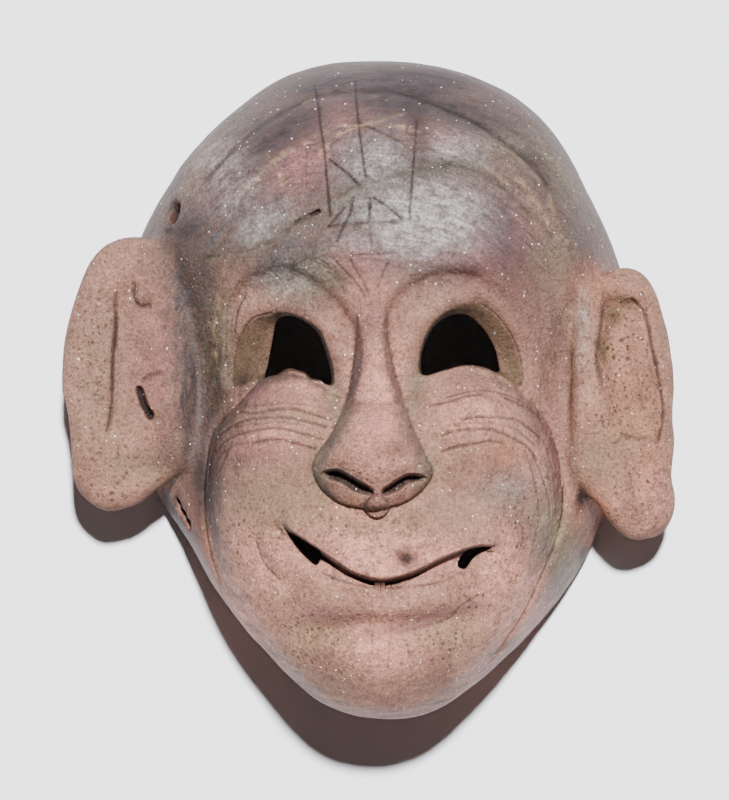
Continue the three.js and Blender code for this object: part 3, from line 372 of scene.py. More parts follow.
def unevenness(x, y, z, size, seed):
    """Smooth unevenness between -1 and 1 whose lumps are about one size across."""
    lattice = np.random.default_rng(seed).uniform(-1, 1, (LATTICE,) * 3)
    corner, share = [], []
    for value in (x, y, z):
        place = np.asarray(value, float) / size + FAR_OFF
        base = np.floor(place).astype(int)
        t = place - base
        corner.append(base)
        share.append(t * t * (3 - 2 * t))
    total = 0
    for dx in (0, 1):
        for dy in (0, 1):
            for dz in (0, 1):
                weight = 1
                for t, step in zip(share, (dx, dy, dz)):
                    weight = weight * (t if step else 1 - t)
                total = total + weight * lattice[tuple(
                    (base + step) % LATTICE for base, step in zip(corner, (dx, dy, dz)))]
    return total


def around_axis(points, measure):
    """A measure of a ring of points about the head's axis, as stations over the angle."""
    turns = sorted((math.atan2(p[1] - AXIS["y"], p[0] - AXIS["x"]), measure(p)) for p in points)
    return [(a + turn * 2 * math.pi, value) for turn in (-1, 0, 1) for a, value in turns]


def radius_of(point):
    return math.hypot(point[0] - AXIS["x"], point[1] - AXIS["y"])


rim_radius = around_axis(RIM, radius_of)
brow_radius = around_axis(BROW_LINE, radius_of)
brow_height = around_axis(BROW_LINE, lambda point: point[2])

# Distances over the plan from each outline of the face and the ears, as far out as each one matters
muzzle = plan_distance(MUZZLE, 1)
orbits = [plan_distance(points, 12) for points in ORBITS]
eyes_outer = [plan_distance(points, 16) for points in EYE_OUTER]
eyes_inner = [plan_distance(points, 16) for points in EYE_INNER]
nose = plan_distance(NOSE, 4)
ear_plans = [plan_distance(points, 14) for points in (EAR_LEFT, EAR_RIGHT)]
right_bowl = plan_distance(EAR_RIGHT_HOLLOW, 1)


def pillow(distance, high, reach):
    """A swelling that rises from an outline and levels off inside it."""
    return high * (1 - np.exp(np.minimum(distance, 0) / reach))


# The head without its carving, which its inside follows
side = np.abs(GRID_X - AXIS["x"]) / FALL_AT
fall = np.where(GRID_X < AXIS["x"], through(FALL_LEFT, GRID_Y), through(FALL_RIGHT, GRID_Y))
plain_front = (through(MIDLINE, GRID_Y) - fall * side ** FALL_POWER
               + pillow(muzzle, MUZZLE_SWELL["high"], MUZZLE_SWELL["reach"])
               + swelling(SHELL_SWELLINGS, GRID_X, GRID_Y))
nose_depth = np.clip(-nose / through(NOSE_FLANK, GRID_Y), 0, 1)
nose_height = through(NOSE_RISE, GRID_Y) * np.sqrt(1 - (1 - nose_depth) ** 2)

# The carved front: sockets, brows, nose, lips and chin
upper_face = ease(*SOCKET["fade"], GRID_Y)
groove_share = SOCKET["low"] + (1 - SOCKET["low"]) * upper_face
carved_front = plain_front + swelling(FACE_SWELLINGS, GRID_X, GRID_Y)
for socket, eye in zip(orbits, eyes_outer):
    carved_front -= upper_face * SOCKET["sink"] * (1 - ease(*SOCKET["slope"], socket))
    groove = np.exp(-((socket + SOCKET["off"]) / SOCKET["width"]) ** 2)
    carved_front -= groove_share * SOCKET["groove"] * groove
    carved_front += upper_face * LID["high"] * np.exp(-((eye - LID["off"]) / LID["wide"]) ** 2)
nose_front = ease(*NOSE_UNDER["edge"], GRID_Y - through(NOSTRILS, GRID_X))
carved_front += nose_height * (NOSE_UNDER["least"] + (1 - NOSE_UNDER["least"]) * nose_front)
bead = (((GRID_X - NOSE_BEAD["x"]) / NOSE_BEAD["wide"]) ** 2
        + ((GRID_Y - NOSE_BEAD["y"]) / NOSE_BEAD["tall"]) ** 2)
carved_front += NOSE_BEAD["high"] * np.sqrt(np.maximum(0, 1 - bead))
for deep, wide, points in CREASES:
    away = plan_distance(points, 6, closed=False, steps=6)
    carved_front -= deep * np.exp(-(away / wide) ** 2)
lip_line = through(LIP, GRID_X)
above_lip = GRID_Y - lip_line
smile = ease(*LIP_ENDS["left"], GRID_X) * (1 - ease(*LIP_ENDS["right"], GRID_X))
over = ease(*LIP_EDGE["edge"], above_lip)
carved_front += smile * LIP_EDGE["high"] * over * (1 - ease(*LIP_EDGE["above"], above_lip))
carved_front -= smile * LIP_EDGE["low"] * ease(*LIP_EDGE["below"], above_lip) * (1 - over)
hollow_front = plain_front + NOSE_HOLLOW * nose_height

# Lines drawn into the soft clay with a point: the marks of the forehead, the wrinkles, the teeth and the
# chin, with their depth, half-width and how dark their bottom is drawn
DRAWN_LINES = [
    (0.65, 0.42, 1.0, [
        [[-16.3, 88.3], [-14.5, 80.9], [-13.9, 74.6], [-12.7, 66.6], [-11.9, 57.7], [-11, 48.3]],
        [[-3.8, 90.3], [-3.8, 82.6], [-2.7, 70.8], [-1.1, 59]],
        [[13.3, 75.2], [12.4, 64.2], [11.5, 52.8], [11.2, 47.2]],
        [[-11.3, 64.2], [-5.7, 59.6], [-2.9, 56.6]], [[1.2, 53.1], [5.1, 50.5], [9, 47.2]],
        [[-4.5, 53.4], [-5.7, 47.9], [-7.4, 44.9], [-9, 41]], [[-7.1, 50.3], [-11.5, 45]],
        [[0.1, 53], [0, 47.2]],
    ]),
    (0.5, 0.4, 0.55, [
        [[-2.7, 74.6], [5.5, 70.8], [10.5, 68.2]], [[-11.5, 45], [-5.7, 45.8], [3.7, 46.3], [11, 46.8]],
        [[0.1, 45.8], [0.4, 38.8]], [[-5.1, 36.9], [5.7, 37.4]], [[-5.7, 36.3], [-2.9, 31.3], [-0.4, 26.6]],
        [[5.4, 35.2], [3.7, 32.1], [2.3, 28]], [[-10.4, 36.3], [-7.1, 32.7], [-4, 29.5], [-1.3, 25.5]],
    ]),
    (0.35, 0.36, 0.3, [
        [[-2.7, 74.6], [-6.6, 71.7], [-11.3, 68]], [[7.7, 63.9], [1.5, 59.3]], [[-17.8, 68.1], [-17.7, 56]],
        [[6.2, -64.1], [5.6, -70.8], [5.1, -77.1]], [[0.1, -64.1], [0.7, -70.8], [0.1, -77.1]],
    ]),
    (0.65, 0.44, 0.65, [
        [[-36.6, -6.5], [-31.7, -6.5], [-27.8, -5.9], [-22.7, -5.6], [-18.5, -6.2], [-14.9, -7.3],
         [-10.7, -8.4]],
        [[-42.4, -13], [-39.5, -11], [-35.7, -9], [-31.1, -8.1], [-25.5, -7.8], [-20.2, -8.4],
         [-12.1, -10.6]],
        [[-43.6, -18], [-40.6, -14.6], [-36.5, -12.6], [-29.1, -11.1], [-25.5, -11], [-20.1, -12.1],
         [-13.1, -14.1]],
        [[-32.8, -15.2], [-30, -14.5], [-25.4, -14.2], [-18.5, -15.8], [-15.2, -16.6]],
        [[16.5, -4.8], [22.6, -3.4], [26.8, -2], [31.4, -1.4]],
        [[37.9, -2.5], [40.7, -3.7], [43.6, -5.1], [47, -7.3], [48.8, -9.9]],
        [[25.4, -8.4], [29.6, -7.8], [34.1, -7.8], [38.7, -8.1], [42.4, -9.3], [47.6, -13.4]],
        [[20.1, -12.8], [24.3, -11.7], [28.7, -11.3], [33.2, -11.3], [36.9, -12.3], [43.5, -15.7],
         [47, -20]],
        [[19.8, -17.5], [24.3, -16.1], [29.6, -15.2], [33.2, -14.5], [36.9, -15.1]],
    ]),
    (0.4, 0.38, 0.4, [
        [[21, -2.5], [26.3, -1], [31.4, -0.3], [34.2, -0.6], [40, -2.2], [46, -5.6]],
        [[-36.5, -4.6], [-30, -4.4], [-24, -3.8], [-17, -4.6]],
        [[-38, -10.6], [-32, -9.6], [-26, -9.3], [-18, -10.2]],
        [[-44.2, -22], [-42, -18.6], [-38.5, -16], [-34, -14.9]],
        [[24, -10], [30, -9.4], [36, -9.7], [42, -12], [46.6, -16]], [[-38.6, -14.9], [-42.1, -22.8]],
        [[-43.3, -16.1], [-45, -20.6], [-45.4, -28], [-44.2, -35], [-43, -42.2], [-42.2, -48.2]],
        [[46.1, -19.1], [49.3, -27], [50.7, -34.9], [49.6, -43.9], [47.4, -47]],
        [[49, -14.5], [51.6, -22.5], [52.4, -30], [52, -37]],
        [[43.5, -17], [46.3, -26], [47.4, -36], [45.2, -46]], [[51.3, -12], [53.6, -20], [54, -28]],
        [[-36.6, 30], [-39.2, 24.7], [-40.4, 18], [-40.6, 8]], [[-34.5, 27], [-37, 22], [-38, 16]],
        [[8.4, -67.2], [21.2, -64.1], [25.4, -60.2], [30.7, -57.3]],
        [[-31.6, -43], [-29.4, -48.6], [-25, -53]],
    ]),
    (0.5, 0.36, 0.6, [
        [[-13.2, -50.8], [-7.6, -53.1], [0.4, -54.9], [6.5, -54.9], [15.1, -54.2], [20.6, -53],
         [25.4, -50.8]],
        [[-10.1, -48.4], [-10.1, -52.3]],
        [[-38.6, 1], [-38, 8.1], [-36.3, 14.4], [-33, 19.6], [-27.5, 21.4]],
        [[31, 24], [36.3, 20], [41.1, 12.6], [43.2, 3.6], [41.7, 0.5]],
        [[-31.5, 1.5], [-37, -4.5], [-44, -12], [-46.3, -23], [-46.8, -33], [-45.2, -45], [-42, -55]],
        [[54.6, -28], [54.6, -34], [52.6, -43], [49.2, -51], [42.8, -64], [33.5, -77]],
    ]),
]
# Scratches made after the firing, which lay bare the light clay under the burnished skin
SCRATCHES = [
    [[-30, 62], [-20, 69], [-6, 73.5], [6, 74], [16, 71]],
    [[-19, 80.5], [-10, 84.6], [-2, 83.2], [6, 81.4]], [[-14, 66], [-8, 71.5], [1, 74.8], [11, 77.8]],
    [[40, 66.5], [44, 63], [49, 57], [52, 50], [55, 41]], [[43, 59], [46, 52.5], [50, 47.5], [53, 42.5]],
    [[38, 62.5], [43.5, 57.4], [47.5, 51.5]], [[-41, 33], [-43.5, 20], [-43.2, 8]],
    [[56.6, 24], [57.5, 10], [55.8, -4]], [[-23, 52], [-25, 60], [-29, 66]], [[20, 67], [30, 64], [39, 57]],
    [[-40, 48], [-34, 57], [-25, 64.5], [-17, 69]],
]
SCRATCH_HALF = 0.34
# How far each kind of line wanders, in mm, where the hand was unsteady, and the size and seed of that
WANDER = {"scratch": 0.25, "drawn": 0.12, "crack": 0.35, "filling": 0.5, "crown": 0.3, "ear": 0.25}
HAND_SIZE, HAND_SEED = 2.5, 11
# The burr beside a drawn line: its height, and its place and width in half-widths of the line
BURR = {"high": 0.12, "off": 1.9, "wide": 0.7}
# The open stretch of the crack over the forehead, the filled stretches to both sides of it, and the
# groove that runs along the crown a little inside the rim
CRACK_OPEN = [[-20.6, 46.4], [-18.5, 47.6], [-16.9, 48.2], [-14.1, 49.3]]
CRACK_FILLED = [
    [[-46, 37], [-39.1, 38.4], [-35.1, 38.6], [-31.1, 39.9], [-27.2, 41], [-25.2, 42.3], [-21, 46.2]],
    [[-14.1, 49.1], [-12.1, 50.3], [-9.6, 53.3], [-7.1, 54.5], [-4.6, 56.2], [0.4, 57], [10.2, 60.5],
     [21, 62.4], [30, 61], [38, 56], [45, 49]],
    [[-22, 33.6], [-17, 36], [-12.6, 34.4], [-9.2, 30.4], [-7, 26.8]],
]
CROWN_STEP = [
    [-46.3, 59], [-35, 70.5], [-21.5, 79.5], [-10, 83.6], [-4, 83.8], [8, 83.5], [21, 79.2], [30, 75],
    [39, 68.8], [47, 62], [50, 58],
]
# The crack's depth, where it is widest and how it closes; the raised filling, the groove beside it and how
# far it stains the clay; and the groove of the crown
CRACK = {"deep": 2.2, "middle": -17.4, "half": 3.4, "closing": 0.3}
FILLING = {"high": 0.25, "wide": 1.3, "groove": 0.4, "off": 0.3, "narrow": 0.35, "stain": 2.6}
CROWN_GROOVE = {"deep": 0.9, "wide": 0.8}
# How dark the open crack and the slits are drawn: dirt packed into the crack, and painted shade in the slits
CRACK_AND_SLIT_DARK = 1.2
# Places where the clay has chipped or a grain has burnt out: x, y, half-width, depth
CHIPS = [
    [-8.6, 3.5, 1.6, 0.9], [-8.4, -1.4, 1.2, 0.8], [-1, -22, 1.3, 0.6], [8.2, -17.5, 1.4, 0.5],
    [22.5, 61.5, 1.8, 0.7], [-1.4, 56.8, 2, 0.6], [12.5, -44.6, 1.5, 0.4], [51, 45, 1, 0.6],
    [54, 42.5, 1.1, 0.6], [55.5, 43.6, 0.9, 0.5], [58.5, 30, 0.9, 0.6], [59, 33.5, 1.2, 0.6],
    [-49.5, 45, 1.1, 0.5], [3.2, -32, 1, 0.4], [-19, 31, 2.2, 0.7], [-16, 28, 1.6, 0.5],
    [40, -17, 1.2, 0.5], [15, 61, 1.2, 0.5], [-44, -40, 1.2, 0.6], [57, -44, 1.2, 0.7],
]
# Small pits where the sand has come out, and the spans of x and y in which they lie
PIT_COUNT, PIT_SEED = 420, 5
PIT_HALF = (0.45, 1.0)
PIT_DEPTH = (0.12, 0.4)
EAR_PIT_DEPTH = (0.12, 0.52)
FACE_PITS = {"x": (-50, 52), "y": (-88, 82)}
EAR_PITS = {"left": (-87, -27), "right": (30, 88), "y": (-40, 40)}


def part_way(span, share):
    """The value at a share of the way through a span."""
    return span[0] + share * (span[1] - span[0])


def dent(plan, x, y, half, depth):
    """Presses a small round dent into a plan grid."""
    columns = slice(*np.searchsorted(PLAN_X, [x - 3 * half, x + 3 * half]))
    rows = slice(*np.searchsorted(PLAN_Y, [y - 3 * half, y + 3 * half]))
    away = ((GRID_X[columns, rows] - x) ** 2 + (GRID_Y[columns, rows] - y) ** 2) / half ** 2
    plan[columns, rows] -= depth * np.exp(-away ** 1.5)


# Where the foot of the nose and the root of the bead are smoothed into the upper lip
NOSE_FOOT = [(-7.5, -35, 9, 4.2, -22, 2.4), (11, -34.4, 8, 4, 25, 2.2)]
# The relief is a plan grid of its own, so that the coarse net is laid without it; line_mark is 1 in the
# bottom of a line, and near_line is how far the nearest line is
relief = swelling(NOSE_FOOT, GRID_X, GRID_Y)
line_mark = np.zeros(GRID_X.shape)
near_line = np.full(GRID_X.shape, 5.0)
seam = np.zeros(GRID_X.shape)
hand = unevenness(GRID_X, GRID_Y, 0, HAND_SIZE, HAND_SEED)
scratched = np.zeros(GRID_X.shape)


def from_line(points, wander, steps=4):
    """Distance from an open line that was drawn by hand, up to 5 mm."""
    return plan_distance(points, 5, closed=False, steps=steps) + wander * hand


def patchy(middle, swing):
    """A share that comes and goes with the pressure of the hand."""
    return middle + swing * hand


for points in SCRATCHES:
    away = from_line(points, WANDER["scratch"], 5)
    scratched = np.maximum(scratched, ease(1.5, 0.3, away / SCRATCH_HALF) * patchy(0.6, 0.6))
for depth, half, darkness, lines in DRAWN_LINES:
    for points in lines:
        away = from_line(points, WANDER["drawn"], 5)
        cut = ease(1.25, 0.1, away / half)
        relief -= depth * patchy(0.8, 0.4) * cut
        relief += BURR["high"] * np.exp(-((away / half - BURR["off"]) / BURR["wide"]) ** 2)
        line_mark = np.maximum(line_mark, darkness * cut)
        near_line = np.minimum(near_line, away)
away = (from_line(CRACK_OPEN, WANDER["crack"])
        + CRACK["closing"] * np.abs(GRID_X - CRACK["middle"]) / CRACK["half"])
relief -= CRACK["deep"] * ease(0.9, 0.2, away)
line_mark = np.maximum(line_mark, CRACK_AND_SLIT_DARK * ease(0.95, 0.4, away))
near_line = np.minimum(near_line, away)
for points in CRACK_FILLED:
    away = from_line(points, WANDER["filling"])
    ridge = FILLING["high"] * np.exp(-(away / FILLING["wide"]) ** 2)
    relief += ridge - FILLING["groove"] * np.exp(-((away - FILLING["off"]) / FILLING["narrow"]) ** 2)
    line_mark = np.maximum(line_mark, patchy(0.35, 0.4) * ease(1.0, 0.3, away))
    seam = np.maximum(seam, patchy(0.7, 0.5) * np.exp(-(away / FILLING["stain"]) ** 2))
    near_line = np.minimum(near_line, away)
away = from_line(CROWN_STEP, WANDER["crown"])
relief -= CROWN_GROOVE["deep"] * np.exp(-(away / CROWN_GROOVE["wide"]) ** 2)
line_mark = np.maximum(line_mark, patchy(0.55, 0.3) * ease(1.5, 0.2, away))
near_line = np.minimum(near_line, from_line(CROWN_STEP, 0))
for x, y, half, depth in CHIPS:
    dent(relief, x, y, half, depth)
draw = np.random.default_rng(PIT_SEED)
for x, y, size, deep in draw.random((PIT_COUNT, 4)):
    dent(relief, part_way(FACE_PITS["x"], x), part_way(FACE_PITS["y"], y), part_way(PIT_HALF, size ** 3),
         part_way(PIT_DEPTH, deep))
fine_front = carved_front + relief


def head_skin(x, y, z, front):
    """Negative inside the head: under its front and within its wall."""
    angle = np.arctan2(y - AXIS["y"], x - AXIS["x"])
    rise = z / through(brow_height, angle)
    rim = through(rim_radius, angle)
    radius = (rim + (through(brow_radius, angle) - rim) * np.clip(rise, *WALL_RISE)
              + WALL_SWELL * np.clip(4 * rise * (1 - rise), 0, 1))
    wall = np.hypot(x - AXIS["x"], y - AXIS["y"]) - radius
    edge = EDGE_ROUND + (CROWN_ROUND - EDGE_ROUND) * ease(*CROWN_FROM, y)
    return rounded_max(FRONT_SLOPE * (z - at(front, x, y)), wall, edge)


# Each ear is a flat slab with round edges, and its relief swells its upper side
def helix_relief():
    """The roll and the dip along the edge of the left ear."""
    off = GRID_X - through(HELIX_LINE, GRID_Y)
    start, full, falls, end = HELIX["ends"]
    along = ease(start, full, GRID_Y) * (1 - ease(falls, end, GRID_Y))
    inner = ease(-HELIX["step"], HELIX["step"], off)
    return along * (HELIX["roll"] * (1 - inner) * np.exp(-np.abs(off) / HELIX["rollWidth"])
                    - HELIX["dip"] * inner * np.exp(-np.abs(off) / HELIX["dipWidth"]))


def ear_plane(plane, centre):
    """The height of an ear's middle layer."""
    return (plane["level"] + plane["leanX"] * (GRID_X - centre["x"])
            + plane["leanY"] * (GRID_Y - centre["y"]))


# The cuts fade out over a length at their ends, and a cut is drawn darker the deeper it is, as painted shade,
# darkest from the dark depth on
FADE_LENGTH, DARK_DEPTH = 6, 1.3
# The helix of the left ear is a slit drawn deep; the folds beside it, the fine cracks and the worn chips
# of both ears follow: points, depth, half-width
EAR_CUTS = [
    ([[-74.2, -12], [-72.9, -4], [-72.7, 7.4], [-72, 15], [-71.6, 27]], 1.3, 0.6),
    ([[-66.8, 29.8], [-66.8, 25.5], [-65, 23.4], [-62.6, 23.5]], 0.8, 0.9),
    ([[-64.4, 2.4], [-62.4, 3.6], [-59.6, 4.4]], 0.7, 0.9),
    ([[74.5, 25.5], [78.3, 21], [80.2, 12], [82.6, 0], [83.4, -8], [81.6, -15]], 1.2, 0.7),
    ([[66.5, 25.5], [65.4, 18], [64.4, 8.5], [66, 0]], 0.9, 0.9),
    ([[71.5, -12.6], [75, -14], [78, -14]], 0.7, 0.8),
]
EAR_CHIPS = [
    [69.5, 19.4, 2.4, 1.3], [66, 11, 2.8, 1.3], [73.5, 3, 3, 0.7], [77, -4, 2.4, 0.7], [72, 12, 1.6, 0.6],
    [75.3, -9.4, 1.2, 0.7], [68, 8, 1.6, 0.4], [-60.5, 29, 1.5, 0.5], [-78, -12, 1.3, 0.4],
    [-70, -27, 1.6, 0.5], [-74, -20, 1.2, 0.5], [-66, -25, 1.3, 0.5], [83, -24.5, 1.4, 0.8],
]
EAR_LUMPS, EAR_LUMP_SIZE, EAR_LUMP_SEED = 0.8, 5.5, 31
EAR_FOLDS = [
    (76.5, 7, 2, 17, 8, 1.7), (68.5, 9, 3.4, 8, 0, -1.5), (-64.5, 27, 2.6, 4.5, 0, 1.4),
    (-69.6, 8, 2.4, 14, 3, -1.2), (-57.5, -3, 5, 6, 0, 1.5),
]
ear_relief = np.where(
    GRID_X < 0, helix_relief() + swelling(EAR_LEFT_SWELLINGS, GRID_X, GRID_Y),
    EAR_BOWL["lift"] - pillow(right_bowl, EAR_BOWL["deep"], EAR_BOWL["slope"])
    + swelling(EAR_RIGHT_SWELLINGS, GRID_X, GRID_Y))
ear_relief += EAR_LUMPS * unevenness(GRID_X, GRID_Y, 0, EAR_LUMP_SIZE, EAR_LUMP_SEED)
ear_relief += swelling(EAR_FOLDS, GRID_X, GRID_Y)
ear_fine = np.zeros(GRID_X.shape)
for points, depth, half in EAR_CUTS:
    away = from_line(points, WANDER["ear"], 6)
    heights = [point[1] for point in points]
    middle, length = sum(heights) / len(heights), max(heights) - min(heights) + FADE_LENGTH
    cut = ease(1.3, 0.1, away / half) * np.exp(-(2.1 * (GRID_Y - middle) / length) ** 4)
    ear_fine -= depth * cut
    line_mark = np.maximum(line_mark, cut * min(0.9, depth / DARK_DEPTH))
    near_line = np.minimum(near_line, away)
for x, y, half, depth in EAR_CHIPS:
    dent(ear_fine, x, y, half, depth)
for x, y, size, deep in draw.random((PIT_COUNT // 2, 4)):
    dent(ear_fine, part_way(EAR_PITS["left" if x < 0.5 else "right"], x), part_way(EAR_PITS["y"], y),
         part_way(PIT_HALF, size ** 2), part_way(EAR_PIT_DEPTH, deep))
ear_level = np.where(GRID_X < 0, ear_plane(EAR_LEFT_PLANE, EAR_LEFT_CENTRE),
                     ear_plane(EAR_RIGHT_PLANE, EAR_RIGHT_CENTRE))
ear_plan = np.minimum(*ear_plans)


def ears(x, y, z, fine):
    """Negative inside either ear."""
    extra = at(ear_relief, x, y)
    height = z - at(ear_level, x, y) - extra / 2
    half = EAR_HALF + extra / 2
    half = half + np.where(height > 0, fine * at(ear_fine, x, y), 0)
    radius = np.minimum(EAR_HALF, half)
    a = at(ear_plan, x, y) + radius
    b = np.abs(height) - (half - radius)
    return np.hypot(np.maximum(a, 0), np.maximum(b, 0)) + np.minimum(np.maximum(a, b), 0) - radius


# How softly the ears run into the walls, and the unevenness of the skin: height, size of the lumps, seed
EAR_ROOT = 5.0
SKIN_LUMPS = [(0.22, 9, 1), (0.09, 3.2, 2)]
# An eye hole widens outwards over a height, from a depth under the front
EYE_THROAT, EYE_FLARE = 6.6, 5.6
# How round the edges of the holes and of the rim are
HOLE_EDGE, SLIT_EDGE, RIM_EDGE = 0.9, 0.8, 1.5
# The slits of the mouth, the nostrils and the left ear close at a depth, so they are part of the relief.
# Their walls lean over a half-width, and the lip runs at a slant, which stretches what is measured across it
MOUTH_SUNK, NOSTRIL_SUNK, EAR_SUNK = 3.4, 4.2, 4.42
SLIT_WALL, EAR_SLIT_WALL = 0.75, 0.8
NOSTRIL_WIDER, EAR_SLIT_WIDER = 0.25, 0.15
LIP_STRETCH = 1.05
# The lower lid of the left eye is broken away in a ragged line
RAGGED = {"high": 1.1, "size": 3.2, "seed": 21, "x": -19, "y": 4, "wide": 8, "tall": 3.5}

lid_ragged = RAGGED["high"] * unevenness(GRID_X, GRID_Y, 0, RAGGED["size"], RAGGED["seed"]) * np.exp(
    -((GRID_X - RAGGED["x"]) / RAGGED["wide"]) ** 4 - ((GRID_Y - RAGGED["y"]) / RAGGED["tall"]) ** 2)
eyes_outer[0] = eyes_outer[0] + lid_ragged
eyes_inner[0] = eyes_inner[0] + lid_ragged
slit_width = through(SLIT_WIDTH, GRID_X)
past_corners = np.maximum(LIP_CORNERS[0] - GRID_X, GRID_X - LIP_CORNERS[1])
mouth_slit = np.maximum(np.maximum(above_lip, -above_lip - slit_width), past_corners) / LIP_STRETCH
nostril_slits = np.minimum(*[plan_distance(points, 4) for points in NOSTRIL_SLITS]) - NOSTRIL_WIDER
ear_slit = plan_distance(EAR_HOLE, 4) - EAR_SLIT_WIDER
through_holes = np.minimum(*[plan_distance(points, 4) for points in MOUTH_HOLES])
# The slits of the mouth, the nostrils and the left ear are sunk and drawn dark: painted shade in them
for plan, depth in ((mouth_slit, MOUTH_SUNK), (nostril_slits, NOSTRIL_SUNK)):
    fine_front = fine_front - depth * ease(SLIT_WALL, -SLIT_WALL, plan)
    line_mark = np.maximum(line_mark, CRACK_AND_SLIT_DARK * ease(0.2, -0.5, plan))
ear_fine -= EAR_SUNK * ease(EAR_SLIT_WALL, -EAR_SLIT_WALL, ear_slit)
line_mark = np.maximum(line_mark, CRACK_AND_SLIT_DARK * ease(0.5, -0.2, ear_slit))


def bored(x, y, z, hole):
    """Negative inside a slot bored through the wall."""
    turn, tilt, spin = (math.radians(hole[name]) for name in ("heading", "tilt", "spin"))
    dx, dy, dz = x - hole["x"], y - hole["y"], z - hole["z"]
    level = dx * math.cos(turn) + dy * math.sin(turn)
    across = -dx * math.sin(turn) + dy * math.cos(turn)
    inwards = level * math.cos(tilt) - dz * math.sin(tilt)
    down = -level * math.sin(tilt) - dz * math.cos(tilt)
    u = down * math.cos(spin) + across * math.sin(spin)
    v = -down * math.sin(spin) + across * math.cos(spin)
    straight = (hole["long"] - hole["wide"]) / 2
    around = np.hypot(np.maximum(np.abs(u) - straight, 0), v) - hole["wide"] / 2
    return np.maximum(around, np.abs(inwards) - hole["deep"] / 2)


def clay(p, fine=True):
    """Negative inside the clay of the whole mask, in mm."""
    x, y, z = p.T
    front = fine_front if fine else carved_front
    outer = rounded_min(head_skin(x, y, z, front), ears(x, y, z, float(fine)), EAR_ROOT)
    if fine:
        for high, size, seed in SKIN_LUMPS:
            outer = outer + high * unevenness(x, y, z, size, seed)
    out = p - (AXIS["x"], AXIS["y"], 0)
    q = p + WALL * out / (np.linalg.norm(out, axis=1, keepdims=True) + 1e-9)
    body = np.maximum(outer, -head_skin(q[:, 0], q[:, 1], q[:, 2], hollow_front))
    body = rounded_max(body, -z, RIM_EDGE)
    for wide, narrow in zip(eyes_outer, eyes_inner):
        share = np.clip((z - at(plain_front, x, y) + EYE_THROAT) / EYE_FLARE, 0, 1)
        hole = at(wide, x, y) * share + at(narrow, x, y) * (1 - share)
        body = rounded_max(body, -hole, HOLE_EDGE)
    body = rounded_max(body, -at(through_holes, x, y), SLIT_EDGE)
    for hole in (WALL_SLOT, TEMPLE_HOLE):
        body = rounded_max(body, -bored(x, y, z, hole), SLIT_EDGE)
    return body


# The net is laid over this box, and its field is worked out in parts to spare memory
NET_BOX = (-90, -97.4, -2.3), (91, 98, 91)
NET_PITCH, NET_PARTS = 1.75, 12
# The longest edge left in the net, in mm: out of sight, on the outer skin, where the form turns fast, at
# the foot of the nose, at the edges of the holes, and along the drawn lines
EDGE_HIDDEN, EDGE_SKIN, EDGE_TURN, EDGE_FOOT, EDGE_HOLE, EDGE_LINE = 9, 2.7, 1.6, 0.75, 0.95, 0.52
# How near to a feature a place counts as beside it, and over which height
BESIDE = {
    "skin": 2.5, "nose": 2, "lip": 4, "hole": 1.3, "throat": 1.4, "bead": 6, "foot": 1.3, "slit": 1.1,
    "line": 0.52,
}
OVER = {"turn": 40, "throat": 30, "foot": 50, "line": 28}
LIP_MIDDLE, LIP_HALF = 5, 33
FOOT_BELOW = -18


def surface_net(field, low, high, pitch):
    """Points and faces of the surface where a field crosses zero, one point to each crossed cell."""
    axes = [np.arange(a, b, pitch) for a, b in zip(low, high)]
    grid = np.stack(np.meshgrid(*axes, indexing="ij"), axis=-1)
    shape = grid.shape[:3]
    flat = grid.reshape(-1, 3)
    value = np.concatenate([field(part) for part in np.array_split(flat, NET_PARTS)]).reshape(shape)
    inside = value < 0
    corners = [(i, j, k) for i in (0, 1) for j in (0, 1) for k in (0, 1)]
    cells = tuple(n - 1 for n in shape)

    def shifted(array, corner):
        return array[tuple(slice(c, c + n) for c, n in zip(corner, cells))]

    crossed = sum(shifted(inside, corner).astype(int) for corner in corners) % 8 > 0
    place = np.argwhere(crossed)
    total, count = np.zeros((len(place), 3)), np.zeros((len(place), 1))
    for a in corners:
        for axis in range(3):
            if a[axis]:
                continue
            b = tuple(c + (n == axis) for n, c in enumerate(a))
            va, vb = value[tuple((place + a).T)], value[tuple((place + b).T)]
            cut = (va < 0) != (vb < 0)
            share = np.where(cut, va / np.where(cut, va - vb, 1), 0)[:, None]
            total += cut[:, None] * (np.array(a) + share * (np.array(b) - a))
            count += cut[:, None]
    points = np.array(low) + pitch * (place + total / count)
    number = np.full(cells, -1)
    number[crossed] = np.arange(len(place))
    quads = []
    for axis in range(3):
        u, v = (axis + 1) % 3, (axis + 2) % 3
        ahead = [0, 0, 0]
        ahead[axis] = 1
        first = inside[tuple(slice(0, n - step) for n, step in zip(shape, ahead))]
        second = inside[tuple(slice(step, None) for step in ahead)]
        edge = np.argwhere(first != second)
        edge = edge[((edge[:, [u, v]] > 0) & (edge[:, [u, v]] < np.array(cells)[[u, v]])).all(1)]
        outward = first[tuple(edge.T)]
        around = []
        for du, dv in ((1, 1), (0, 1), (0, 0), (1, 0)):
            cell = edge.copy()
            cell[:, u] -= du
            cell[:, v] -= dv
            around.append(number[tuple(cell.T)])
        quad = np.stack(around, axis=1)
        quads.append(np.where(outward[:, None], quad, quad[:, ::-1]))
    quad = np.concatenate(quads)
    across = (np.linalg.norm(points[quad[:, 0]] - points[quad[:, 2]], axis=1)
              <= np.linalg.norm(points[quad[:, 1]] - points[quad[:, 3]], axis=1))
    one, two = quad[across], quad[~across]
    faces = np.concatenate([one[:, [0, 1, 2]], one[:, [0, 2, 3]], two[:, [0, 1, 3]], two[:, [1, 2, 3]]])
    return points, faces


def slope(field, p, step=0.2):
    """Which way a field rises."""
    return np.stack([(field(p + shift) - field(p - shift)) / (2 * step)
                     for shift in np.eye(3) * step], axis=1)


